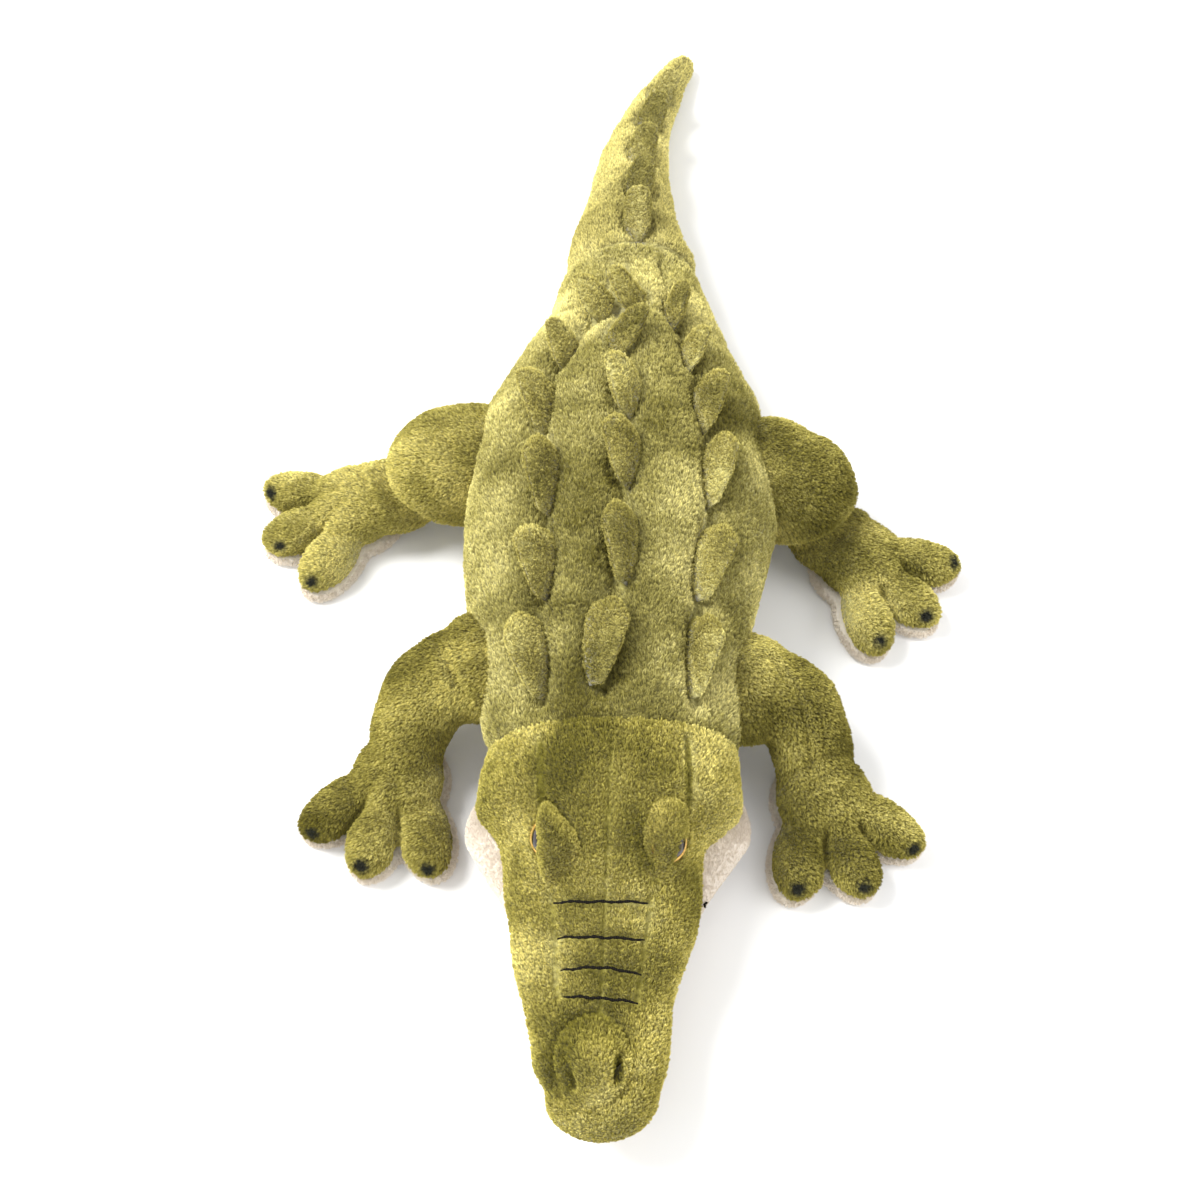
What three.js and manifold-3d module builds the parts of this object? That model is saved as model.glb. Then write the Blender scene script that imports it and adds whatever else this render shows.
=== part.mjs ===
// Plush crocodile lying on its belly, with its legs spread and its tail bent to one side.
// Millimetres, +Z up. The head is toward -Y and the tail toward +Y; the animal's own left is +X.
// The origin is on the floor under the middle of the belly.

import * as THREE from 'three';
import { mergeVertices } from 'three/addons/utils/BufferGeometryUtils.js';
import Module from 'manifold-3d';

const wasm = await Module();
wasm.setup();

// Cloth and clearances
const clothThickness = 3;
const fitGap = 0.3;
const flatDepth = 0.5;
const overrun = 30;
const mergeDistance = 0.0001;

// Torso, from the neck seam to the tail seam
const neckFromMiddle = 86;
const torsoLength = 232;
const torsoHalfWidth = 62.5;
const torsoHeight = 85;
const torsoDrift = 6;
const bellySeamHeight = 15;

// Head, from the neck seam to the snout's tip
const headLength = 121;
const headHalfWidth = 50;
const headDrift = -5;
const snoutCap = 17;
const mouthHeight = 18;
const jawLength = 117;
const jawHalfWidth = 54;
const jawHeight = 37;
const jawCap = 15;

// Eyes and brows
const eyeRadius = 7;
const eyeDomeHeight = 5;
const eyeRimHeight = 1;
const eyeSeatDepth = 1;
const eyeFromNeck = 39;
const shankRadius = 2;
const shankLength = 11;
const washerRadius = 7.5;
const washerThickness = 1.5;
const browFromNeck = 37;
const browHalfWidth = 9.5;
const browHalfLength = 15;
const browHalfHeight = 8;
const browTurn = 12;
// How far out on the head the eyes and brows sit, how far the eyes look forward, and their dome
const eyeOutShare = 0.585;
const eyeForwardShare = 0.35;
const browOutShare = 0.41;
const eyeDomeShares = [[0.87, 0.68], [0.55, 0.92]];

// Tail, from its seam with the torso to its tip
const tailRootLength = 54;
const tailTipLength = 98;
const tailRootDrift = 2;
const tailTipDrift = 24;
const tailCap = 8;

// Seams that bend: the round boss of the moved piece and its swing to each side in degrees
const neckBossRadius = 24;
const neckBossHalfWidth = 24;
const neckSwing = 8;
const tailRootBossRadius = 15;
const tailRootSwing = 14;
const tailTipBossRadius = 12;
const tailTipSwing = 18;
const swingMargin = 0.5;

// Legs: every leg turns about a line along Y through its round root
const frontRootRadius = 20;
const frontRootHalfLength = 22;
const frontRootHeight = 37;
const elbowRadius = 17;
const elbowHeight = 32;
const wristRadius = 14;
const hindRootRadius = 26;
const hindRootHalfLength = 30;
const hindRootHeight = 32;
const thighOut = 9;
const thighHalfWidth = 27;
const thighHalfLength = 30;
const thighHalfHeight = 25.5;
const shinHalfWidth = 17;
const shinHalfHeight = 14;
const shinHeight = 20;
const ankleHalfHeight = 10.5;
const ankleHeight = 16;
const legReach = 48;
const elbowBow = 9;
const elbowAlongShare = 0.44;
// Where each leg is sewn on, and how it lies: shares of the torso's half width, of its length
// from the neck and of the leg's reach. Headings are degrees from -Y, turned outward.
const legs = [
  {
    name: 'front_left', side: 1, front: true,
    out: 0.768, along: 0.125, reach: 0.865, heading: 42, footHeading: 21,
  },
  {
    name: 'front_right', side: -1, front: true,
    out: 0.832, along: 0.1638, reach: 0.94, heading: 46, footHeading: 18,
  },
  {
    name: 'hind_left', side: 1, front: false,
    out: 0.976, along: 0.5366, reach: 0.87, heading: 57, footHeading: 47,
  },
  {
    name: 'hind_right', side: -1, front: false,
    out: 0.96, along: 0.556, reach: 0.98, heading: 86, footHeading: 66,
  },
];
// The limb starts a little inside the round root
const limbStartShare = 0.93;

// Feet, all alike
const footPadHalfLength = 19;
const footPadHalfWidth = 18;
const footPadHeight = 27;
const footPadForward = 5;
const toeReach = 46;
const toeHalfLength = 19;
const toeHalfWidth = 10.5;
const toeHeight = 19.5;
const toeSpread = 37;
const soleHeight = 5;
const soleRim = 1.5;

// Fins: the largest one's base along the seam, height and thickness
const finLength = 34;
const finHeight = 17;
const finThickness = 11;
const finRoot = 5;

// Facets
const torsoFacets = { outer: 16, inner: 10 };
const headFacets = { outer: 14, inner: 8 };
const tailFacets = { outer: 12, inner: 8 };
const limbFacets = { outer: 10, inner: 6 };
const ballFacets = { outer: 10, inner: 6 };
const toeFacets = { outer: 8, inner: 5 };
const ballRings = 6;
const padRings = 4;
const toeRings = 4;
const bossSides = 16;
const eyeSides = 10;
const finFacets = { outer: 6 };
const capRings = 2;

// Rows of the body tables: shares of the length, of the drift, of the half width and of the
// height at the top; the last is how far up that height the body is widest.
const torsoShares = [
  [-0.04, -0.5, 0.71, 0.84, 0.52],
  [0.00, -0.5, 0.75, 0.87, 0.52],
  [0.09, -0.5, 0.80, 0.90, 0.51],
  [0.20, -0.55, 0.88, 0.95, 0.49],
  [0.33, -0.25, 0.975, 0.99, 0.475],
  [0.46, 0.07, 1.00, 1.00, 0.47],
  [0.57, 0.17, 0.96, 0.98, 0.47],
  [0.67, 0.25, 0.89, 0.93, 0.47],
  [0.78, 0.65, 0.725, 0.86, 0.47],
  [0.89, 0.95, 0.565, 0.76, 0.475],
  [1.00, 0.9, 0.475, 0.64, 0.48],
  [1.08, 0.8, 0.455, 0.60, 0.48],
];
const headShares = [
  [-0.22, 0.6, 0.93, 1.00, 0.51],
  [0.00, 0.6, 0.95, 1.00, 0.50],
  [0.10, 0.75, 0.99, 0.99, 0.49],
  [0.17, 0.9, 0.96, 0.96, 0.49],
  [0.28, 1.1, 0.79, 0.90, 0.50],
  [0.50, 1.27, 0.69, 0.73, 0.58],
  [0.72, 1.6, 0.55, 0.60, 0.64],
  [0.86, 1.65, 0.47, 0.58, 0.64],
  [0.94, 1.6, 0.425, 0.64, 0.58],
  [1.00, 1.5, 0.36, 0.62, 0.58],
];
const jawShares = [
  [-0.22, 0.6, 0.80, 0.98, 0.58],
  [0.00, 0.6, 0.82, 1.00, 0.58],
  [0.08, 0.7, 0.88, 1.02, 0.58],
  [0.15, 0.9, 0.97, 1.03, 0.58],
  [0.24, 1.0, 1.00, 1.02, 0.58],
  [0.31, 1.1, 0.92, 1.00, 0.58],
  [0.50, 1.3, 0.66, 0.90, 0.60],
  [0.76, 1.6, 0.48, 0.78, 0.62],
  [0.92, 1.65, 0.37, 0.72, 0.62],
  [1.00, 1.55, 0.31, 0.70, 0.62],
];
const tailRootShares = [
  [-0.28, 0.0, 1.03, 1.02, 0.47],
  [0.00, 0.0, 1.00, 1.00, 0.48],
  [0.25, -0.6, 0.92, 0.95, 0.47],
  [0.57, -0.5, 0.80, 0.88, 0.47],
  [1.00, 0.15, 0.65, 0.76, 0.47],
  [1.15, 0.4, 0.62, 0.73, 0.47],
];
const tailTipShares = [
  [-0.15, -0.09, 1.06, 1.04, 0.47],
  [0.00, -0.07, 1.00, 1.00, 0.47],
  [0.26, 0.025, 0.845, 0.845, 0.47],
  [0.52, 0.26, 0.64, 0.67, 0.47],
  [0.75, 0.59, 0.51, 0.545, 0.47],
  [0.93, 0.89, 0.39, 0.44, 0.47],
  [1.00, 1.03, 0.315, 0.37, 0.47],
];

// Fins: shares of the length of the piece that carries them, of its half width there, and of
// the largest fin's length and height; the last number is the lean outward in degrees.
const middleFinShares = [
  [0.12, -0.07, 0.98, 0.84, -40],
  [0.283, 0.03, 0.95, 0.80, -26],
  [0.45, 0, 0.86, 0.82, -28],
  [0.588, 0, 0.78, 0.84, -28],
  [0.715, 0, 0.56, 0.90, 36],
  [0.83, -0.04, 0.50, 0.80, 38],
];
const rightFinShares = [
  [0.11, -0.60, 0.97, 0.80, 6],
  [0.262, -0.49, 0.86, 0.84, 10],
  [0.42, -0.48, 0.94, 0.74, 10],
  [0.58, -0.56, 0.80, 0.80, 8],
  [0.703, -0.48, 0.60, 0.74, 8],
  [0.818, -0.36, 0.58, 0.80, 30],
];
const leftFinShares = [
  [0.112, 0.63, 0.94, 0.72, 4],
  [0.27, 0.62, 0.90, 0.80, 6],
  [0.438, 0.59, 0.92, 0.76, 4],
  [0.575, 0.565, 0.78, 0.80, 4],
  [0.70, 0.53, 0.56, 0.66, 4],
  [0.80, 0.44, 0.60, 0.72, -4],
];
const tailRootFinShares = [
  [0.235, 0.15, 0.74, 0.84, 0],
  [0.70, 0.2, 0.60, 0.84, 0],
];
const tailTipFinShares = [
  [0.14, 0.25, 0.62, 0.78, 0],
  [0.44, 0.3, 0.60, 0.76, 0],
  [0.69, 0.3, 0.50, 0.68, 0],
];
// A fin's outline: shares of its height, half length and half thickness
const finOutlineShares = [
  [0.0, 1.0, 1.0],
  [0.50, 0.60, 0.82],
  [1.00, 0.10, 0.26],
];

const colours = {
  back: 0x8a8043, belly: 0xece2cc, head: 0x8f8440, jaw: 0xefe5cd, tail: 0xc0b56c, tip: 0xded79b,
  frontLeg: 0x7a7137, hindLeg: 0xa99c58, foot: 0x928842, fin: 0x9c9150, brow: 0x867b3c,
  filling: 0xf4f1ea, eye: 0x1c1210, washer: 0xe8e6e0,
};
const clothRoughness = 0.95;
const fillingRoughness = 1;
const plasticRoughness = 0.18;

const up = new THREE.Vector3(0, 0, 1);
const tau = 2 * Math.PI;

function radians(degrees) {
  return THREE.MathUtils.degToRad(degrees);
}

// Solids from geometries, and geometries from solids

function solidOf(geometry) {
  geometry.deleteAttribute('normal');
  geometry.deleteAttribute('uv');
  const merged = mergeVertices(geometry, mergeDistance);
  return new wasm.Manifold(new wasm.Mesh({
    numProp: 3,
    vertProperties: new Float32Array(merged.attributes.position.array),
    triVerts: new Uint32Array(merged.index.array),
  }));
}

function geometryOf(solid) {
  const mesh = solid.getMesh();
  const geometry = new THREE.BufferGeometry();
  geometry.setAttribute('position', new THREE.BufferAttribute(mesh.vertProperties, mesh.numProp));
  geometry.setIndex(new THREE.BufferAttribute(mesh.triVerts, 1));
  geometry.computeVertexNormals();
  return geometry;
}

function joined(solids) {
  return solids.reduce((whole, solid) => whole.add(solid));
}

// A cut can leave slivers, which are dropped
function largest(solid) {
  return solid.decompose().reduce((best, piece) => (piece.volume() > best.volume() ? piece : best));
}

// Stuffed forms: rings round a middle line, with a rounded or flat end at both ends

function stuffedForm(rows, startCap, endCap, lowerPower, reference = up) {
  return {
    path: new THREE.CatmullRomCurve3(rows.map((row) => row.at), false, 'catmullrom'),
    girth: new THREE.CatmullRomCurve3(
      rows.map((row) => new THREE.Vector3(row.wide, row.above, row.below)), false, 'catmullrom'),
    rows: rows.length,
    startCap,
    endCap,
    lowerPower,
    reference,
  };
}

function formFrame(form, share) {
  const along = form.path.getTangent(share);
  const across = new THREE.Vector3().crossVectors(along, form.reference).normalize();
  const over = new THREE.Vector3().crossVectors(across, along);
  return { centre: form.path.getPoint(share), girth: form.girth.getPoint(share), along, across, over };
}

function ringPoint(form, frame, turn, inset, shrink, shift) {
  const lower = Math.sin(turn) < 0;
  const power = lower ? form.lowerPower : 1;
  const cosine = Math.sign(Math.cos(turn)) * Math.abs(Math.cos(turn)) ** power;
  const sine = Math.sign(Math.sin(turn)) * Math.abs(Math.sin(turn)) ** power;
  const height = lower ? frame.girth.z : frame.girth.y;
  return frame.centre.clone()
    .addScaledVector(frame.along, shift)
    .addScaledVector(frame.across, (frame.girth.x - inset) * cosine * shrink)
    .addScaledVector(frame.over, (height - inset) * sine * shrink);
}

// Linings and fillings have fewer facets than the cloth round them
function sidesFor(facets, inset) {
  return inset > 0 ? facets.inner : facets.outer;
}

function formSolid(form, inset, facets) {
  const sides = sidesFor(facets, inset);
  const rings = [];
  const addRing = (share, shrink, shift) => {
    const frame = formFrame(form, share);
    const ring = [];
    for (let side = 0; side < sides; side += 1) {
      ring.push(ringPoint(form, frame, (tau * side) / sides, inset, shrink, shift));
    }
    rings.push(ring);
  };
  const startLength = Math.max(form.startCap - inset, 0);
  const endLength = Math.max(form.endCap - inset, 0);
  for (let step = 1; step < capRings && startLength > 0; step += 1) {
    const turn = (Math.PI / 2) * (1 - step / capRings);
    addRing(0, Math.cos(turn), -startLength * Math.sin(turn));
  }
  const steps = form.rows - 1;
  for (let step = 0; step <= steps; step += 1) {
    addRing(step / steps, 1, 0);
  }
  for (let step = capRings - 1; step > 0 && endLength > 0; step -= 1) {
    const turn = (Math.PI / 2) * (1 - step / capRings);
    addRing(1, Math.cos(turn), endLength * Math.sin(turn));
  }
  const first = formFrame(form, 0);
  const last = formFrame(form, 1);
  const startPole = first.centre.addScaledVector(first.along, -startLength);
  const endPole = last.centre.addScaledVector(last.along, endLength);
  return solidOf(closedRings(rings, startPole, endPole));
}

function closedRings(rings, startPole, endPole) {
  const sides = rings[0].length;
  const points = [startPole, ...rings.flat(), endPole];
  const lastIndex = points.length - 1;
  const index = [];
  for (let side = 0; side < sides; side += 1) {
    const next = (side + 1) % sides;
    index.push(0, 1 + side, 1 + next);
    for (let ring = 0; ring < rings.length - 1; ring += 1) {
      const here = 1 + ring * sides;
      const there = here + sides;
      index.push(here + side, there + side, there + next);
      index.push(here + side, there + next, here + next);
    }
    const end = lastIndex - sides;
    index.push(lastIndex, end + next, end + side);
  }
  const geometry = new THREE.BufferGeometry();
  geometry.setFromPoints(points);
  geometry.setIndex(index);
  return geometry;
}

// The point of a body's surface at a place along it and a share of its half width
function surfaceAt(form, alongShare, outShare) {
  const frame = formFrame(form, alongShare);
  const turn = Math.acos(outShare * Math.sign(frame.across.x));
  const step = 0.01;
  const point = ringPoint(form, frame, turn, 0, 1, 0);
  const beside = ringPoint(form, frame, turn + step, 0, 1, 0).sub(point);
  const before = ringPoint(form, formFrame(form, alongShare + step), turn, 0, 1, 0).sub(point);
  const normal = beside.cross(before).normalize();
  if (normal.z < 0) {
    normal.negate();
  }
  return { point, normal };
}

// The share of a form's middle line that lies at a place along Y
function shareAt(form, along) {
  let low = 0;
  let high = 1;
  const rising = form.path.getPoint(1).y > form.path.getPoint(0).y;
  for (let step = 0; step < 30; step += 1) {
    const middle = (low + high) / 2;
    const short = form.path.getPoint(middle).y < along;
    if (short === rising) {
      low = middle;
    } else {
      high = middle;
    }
  }
  return (low + high) / 2;
}

// A body form from a table of shares
function bodyForm(shares, size) {
  const rows = shares.map(([along, drift, wide, top, widest]) => {
    const middle = size.height * top * widest;
    return {
      at: new THREE.Vector3(size.x + size.drift * drift, size.y + size.length * along, middle),
      wide: size.halfWidth * wide,
      above: size.height * top - middle,
      below: middle - size.bottom,
    };
  });
  return stuffedForm(rows, 0, size.cap, size.lowerPower);
}

function ball(centre, halfWidth, halfLength, halfHeight, sides, rings, heading = 0) {
  const geometry = new THREE.SphereGeometry(1, sides, rings);
  geometry.scale(halfWidth, halfLength, halfHeight);
  geometry.rotateZ(heading);
  geometry.translate(centre.x, centre.y, centre.z);
  return solidOf(geometry);
}

function block(from, to) {
  const size = to.clone().sub(from);
  const geometry = new THREE.BoxGeometry(size.x, size.y, size.z);
  geometry.translate((from.x + to.x) / 2, (from.y + to.y) / 2, (from.z + to.z) / 2);
  return solidOf(geometry);
}

// The space that cutters cover: the whole toy and some more
const reach = neckFromMiddle + torsoLength + tailRootLength + tailTipLength + overrun;

function aboveHeight(height) {
  return block(new THREE.Vector3(-reach, -reach, height), new THREE.Vector3(reach, reach, reach));
}

const aboveFloor = aboveHeight(0);

// Seams that bend

function seam(place, toChild, axis, bossRadius, bossHalfWidth, swing) {
  return { place, toChild, axis, bossRadius, bossHalfWidth, swing };
}

function placed(geometry, bend, toward) {
  const side = new THREE.Vector3().crossVectors(bend.axis, toward);
  geometry.applyMatrix4(new THREE.Matrix4().makeBasis(toward, side, bend.axis));
  geometry.translate(bend.place.x, bend.place.y, bend.place.z);
  return solidOf(geometry);
}

function sector(bend, toward) {
  const turn = radians(90 - bend.swing / 2 - swingMargin);
  const shape = new THREE.Shape([
    new THREE.Vector2(0, 0),
    new THREE.Vector2(reach * Math.cos(turn), -reach * Math.sin(turn)),
    new THREE.Vector2(reach, -reach),
    new THREE.Vector2(reach, reach),
    new THREE.Vector2(reach * Math.cos(turn), reach * Math.sin(turn)),
  ]);
  const geometry = new THREE.ExtrudeGeometry(shape, { depth: 2 * reach, bevelEnabled: false });
  geometry.translate(fitGap / 2, 0, -reach);
  return placed(geometry, bend, toward);
}

function boss(bend, gap) {
  const radius = (bend.bossRadius + gap) / (gap > 0 ? Math.cos(Math.PI / bossSides) : 1);
  const width = 2 * (bend.bossHalfWidth + gap);
  const geometry = new THREE.CylinderGeometry(radius, radius, width, bossSides);
  geometry.rotateX(Math.PI / 2);
  return placed(geometry, bend, bend.toChild);
}

function movedSide(bend) {
  return sector(bend, bend.toChild).add(boss(bend, 0));
}

function heldSide(bend) {
  return sector(bend, bend.toChild.clone().negate()).subtract(boss(bend, fitGap));
}

// Places of the seams

const torsoEnd = torsoLength - neckFromMiddle;
const torsoForm = bodyForm(torsoShares, {
  x: 0, y: -neckFromMiddle, length: torsoLength, drift: torsoDrift, halfWidth: torsoHalfWidth,
  height: torsoHeight, bottom: -flatDepth, cap: 0, lowerPower: 0.85,
});
const neckRow = torsoShares[1];
const endRow = torsoShares[torsoShares.length - 2];
const neckX = torsoDrift * neckRow[1];
const neckHeight = torsoHeight * neckRow[3];
const tailX = torsoDrift * endRow[1];
const tailHalfWidth = torsoHalfWidth * endRow[2];
const tailHeight = torsoHeight * endRow[3];

const headForm = bodyForm(headShares, {
  x: 0, y: -neckFromMiddle, length: -headLength, drift: headDrift, halfWidth: headHalfWidth,
  height: neckHeight, bottom: mouthHeight / 2, cap: snoutCap, lowerPower: 1,
});
const jawForm = bodyForm(jawShares, {
  x: 0, y: -neckFromMiddle, length: -jawLength, drift: headDrift, halfWidth: jawHalfWidth,
  height: jawHeight, bottom: -flatDepth, cap: jawCap, lowerPower: 0.85,
});
const tailRootForm = bodyForm(tailRootShares, {
  x: tailX, y: torsoEnd, length: tailRootLength, drift: tailRootDrift, halfWidth: tailHalfWidth,
  height: tailHeight, bottom: -flatDepth, cap: 0, lowerPower: 0.85,
});
const tipRow = tailRootShares[tailRootShares.length - 2];
const tailTipForm = bodyForm(tailTipShares, {
  x: tailX + tailRootDrift, y: torsoEnd + tailRootLength, length: tailTipLength,
  drift: tailTipDrift, halfWidth: tailHalfWidth * tipRow[2], height: tailHeight * tipRow[3],
  bottom: -flatDepth, cap: tailCap, lowerPower: 0.85,
});

const forward = new THREE.Vector3(0, -1, 0);
const backward = new THREE.Vector3(0, 1, 0);
const leftward = new THREE.Vector3(1, 0, 0);
const neck = seam(new THREE.Vector3(neckX, -neckFromMiddle, neckHeight / 2), forward, leftward,
  neckBossRadius, neckBossHalfWidth, neckSwing);
const tailSeam = seam(new THREE.Vector3(tailX, torsoEnd, 0), backward, up,
  tailRootBossRadius, reach, tailRootSwing);
const tipSeam = seam(new THREE.Vector3(tailX + tailRootDrift, torsoEnd + tailRootLength, 0),
  backward, up, tailTipBossRadius, reach, tailTipSwing);

// Legs and feet as forms: each returns the outer form, or a smaller one inside it

function outward(leg, heading) {
  const turn = radians(heading);
  return new THREE.Vector3(leg.side * Math.sin(turn), -Math.cos(turn), 0);
}

function legRoot(leg) {
  const height = leg.front ? frontRootHeight : hindRootHeight;
  return new THREE.Vector3(leg.side * torsoHalfWidth * leg.out,
    torsoLength * leg.along - neckFromMiddle, height);
}

function anklePlace(leg) {
  const place = legRoot(leg).addScaledVector(outward(leg, leg.heading), legReach * leg.reach);
  place.z = ankleHeight;
  return place;
}

function rootBall(leg, inset, gap) {
  const radius = leg.front ? frontRootRadius : hindRootRadius;
  const halfLength = leg.front ? frontRootHalfLength : hindRootHalfLength;
  const sides = sidesFor(ballFacets, inset);
  const grown = (radius + gap) / (gap > 0 ? Math.cos(Math.PI / sides) : 1) - inset;
  return ball(legRoot(leg), grown, halfLength + gap - inset, grown, sides, ballRings);
}

// A limb through places of given half width and half height, with a round end at both ends
function limb(places, inset) {
  const rows = places.map(([at, wide, tall]) => ({ at, wide, above: tall, below: tall }));
  const startCap = rows[0].above;
  const endCap = rows[rows.length - 1].above;
  return formSolid(stuffedForm(rows, startCap, endCap, 1), inset, limbFacets);
}

function frontLimbs(leg, inset) {
  const root = legRoot(leg);
  const bowSide = outward(leg, leg.heading + 90);
  const elbow = root.clone()
    .addScaledVector(outward(leg, leg.heading), legReach * leg.reach * elbowAlongShare)
    .addScaledVector(bowSide, elbowBow);
  elbow.z = elbowHeight;
  const rootRadius = frontRootRadius * limbStartShare;
  return limb([
    [root, rootRadius, rootRadius],
    [elbow, elbowRadius, elbowRadius],
    [anklePlace(leg), wristRadius, wristRadius],
  ], inset);
}

function hindLimbs(leg, inset) {
  const thigh = legRoot(leg).add(new THREE.Vector3(leg.side * thighOut, 0, 0));
  const knee = legRoot(leg).addScaledVector(outward(leg, leg.heading), legReach * leg.reach / 2);
  knee.z = shinHeight;
  return joined([
    ball(thigh, thighHalfWidth - inset, thighHalfLength - inset, thighHalfHeight - inset,
      sidesFor(limbFacets, inset), ballRings),
    limb([
      [knee, shinHalfWidth, shinHalfHeight],
      [anklePlace(leg), shinHalfWidth, ankleHalfHeight],
    ], inset),
  ]);
}

function footForm(leg, inset) {
  const ankle = anklePlace(leg);
  const turn = leg.side * radians(leg.footHeading);
  const padHeight = (footPadHeight - flatDepth) / 2;
  const padPlace = ankle.clone().addScaledVector(outward(leg, leg.footHeading), footPadForward);
  padPlace.z = padHeight;
  const solids = [
    ball(padPlace, footPadHalfWidth - inset, footPadHalfLength - inset,
      padHeight + flatDepth - inset, sidesFor(limbFacets, inset), padRings, turn),
  ];
  const toeMiddle = (toeHeight - flatDepth) / 2;
  for (const spread of [-toeSpread, 0, toeSpread]) {
    const heading = leg.footHeading + spread;
    const toePlace = ankle.clone()
      .addScaledVector(outward(leg, heading), toeReach - toeHalfLength);
    toePlace.z = toeMiddle;
    solids.push(ball(toePlace, toeHalfWidth - inset, toeHalfLength - inset,
      toeMiddle + flatDepth - inset, sidesFor(toeFacets, inset), toeRings,
      leg.side * radians(heading)));
  }
  return joined(solids);
}

// Pieces

const group = new THREE.Group();

function addPiece(name, solid, colour, roughness) {
  const material = new THREE.MeshStandardMaterial({ color: colour, roughness, metalness: 0 });
  const mesh = new THREE.Mesh(geometryOf(largest(solid)), material);
  mesh.name = name;
  group.add(mesh);
}

const sockets = joined(legs.map((leg) => rootBall(leg, 0, fitGap)));
const torsoGrown = formSolid(torsoForm, -fitGap, torsoFacets);

function addTorso() {
  const keep = heldSide(neck).intersect(heldSide(tailSeam)).intersect(aboveFloor).subtract(sockets);
  const lining = formSolid(torsoForm, clothThickness, torsoFacets);
  const cloth = formSolid(torsoForm, 0, torsoFacets).subtract(lining).intersect(keep);
  const filling = formSolid(torsoForm, clothThickness + fitGap, torsoFacets).intersect(keep);
  addPiece('torso_back_cloth', cloth.intersect(aboveHeight(bellySeamHeight + fitGap)),
    colours.back, clothRoughness);
  addPiece('torso_belly_cloth', cloth.subtract(aboveHeight(bellySeamHeight)), colours.belly,
    clothRoughness);
  addPiece('torso_filling', filling, colours.filling, fillingRoughness);
}

// Eyes: a dome with a rim and a shank, seated in the cloth, and a washer that holds the shank

function eyeFrame(side) {
  const share = shareAt(headForm, -neckFromMiddle - eyeFromNeck);
  const { point, normal } = surfaceAt(headForm, share, side * eyeOutShare);
  const facing = normal.addScaledVector(forward, eyeForwardShare).normalize();
  point.addScaledVector(facing, -eyeSeatDepth);
  return { point, turn: new THREE.Quaternion().setFromUnitVectors(backward, facing) };
}

function lathe(profile, frame) {
  const points = profile.map(([radius, height]) => new THREE.Vector2(radius, height));
  const geometry = new THREE.LatheGeometry(points, eyeSides);
  geometry.applyQuaternion(frame.turn);
  geometry.translate(frame.point.x, frame.point.y, frame.point.z);
  return solidOf(geometry);
}

function rod(radius, from, to, frame) {
  return lathe([[0, from], [radius, from], [radius, to], [0, to]], frame);
}

function eyeSolid(frame) {
  const dome = eyeDomeShares.map(([out, height]) => [
    eyeRadius * out, eyeRimHeight + (eyeDomeHeight - eyeRimHeight) * height,
  ]);
  return lathe([
    [0, -shankLength], [shankRadius, -shankLength], [shankRadius, 0], [eyeRadius, 0],
    [eyeRadius, eyeRimHeight], ...dome, [0, eyeDomeHeight],
  ], frame);
}

const washerTop = -clothThickness - fitGap;
const washerBottom = washerTop - washerThickness;

function washerSolid(frame) {
  const bore = shankRadius + fitGap;
  return lathe([
    [bore, washerBottom], [washerRadius, washerBottom], [washerRadius, washerTop],
    [bore, washerTop], [bore, washerBottom],
  ], frame);
}

// The room that an eye takes in the cloth: its seat, its shank's hole and its washer's pocket
function eyeRoom(frame) {
  return joined([
    rod(eyeRadius + fitGap, -fitGap, overrun, frame),
    rod(shankRadius + fitGap, -shankLength - fitGap, overrun, frame),
    rod(washerRadius + fitGap, -shankLength - fitGap, washerTop + fitGap, frame),
  ]);
}

function browSolid(side) {
  const share = shareAt(headForm, -neckFromMiddle - browFromNeck);
  const { point } = surfaceAt(headForm, share, side * browOutShare);
  return ball(point, browHalfWidth, browHalfLength, browHalfHeight, toeFacets.outer, toeRings,
    -side * radians(browTurn));
}

function addHead() {
  const keep = movedSide(neck).intersect(aboveFloor);
  const frames = { left: eyeFrame(1), right: eyeFrame(-1) };
  const rooms = eyeRoom(frames.left).add(eyeRoom(frames.right));
  const shell = (inset) => formSolid(headForm, inset, headFacets)
    .add(formSolid(jawForm, inset, headFacets));
  const lining = shell(clothThickness);
  const upper = formSolid(headForm, 0, headFacets).intersect(aboveHeight(mouthHeight));
  const headGrown = formSolid(headForm, -fitGap, headFacets);
  const upperGrown = headGrown.intersect(aboveHeight(mouthHeight - fitGap));
  const jaw = formSolid(jawForm, 0, headFacets).subtract(upperGrown);
  addPiece('head_upper_cloth', upper.subtract(lining).intersect(keep).subtract(rooms),
    colours.head, clothRoughness);
  addPiece('head_jaw_cloth', jaw.subtract(lining).intersect(keep), colours.jaw, clothRoughness);
  addPiece('head_filling', shell(clothThickness + fitGap).intersect(keep).subtract(rooms),
    colours.filling, fillingRoughness);
  for (const [name, frame] of Object.entries(frames)) {
    const side = name === 'left' ? 1 : -1;
    addPiece(`eye_${name}`, eyeSolid(frame), colours.eye, plasticRoughness);
    addPiece(`eye_washer_${name}`, washerSolid(frame), colours.washer, fillingRoughness);
    addPiece(`brow_${name}`, browSolid(side).subtract(headGrown).subtract(eyeRoom(frame)),
      colours.brow, clothRoughness);
  }
}

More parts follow.
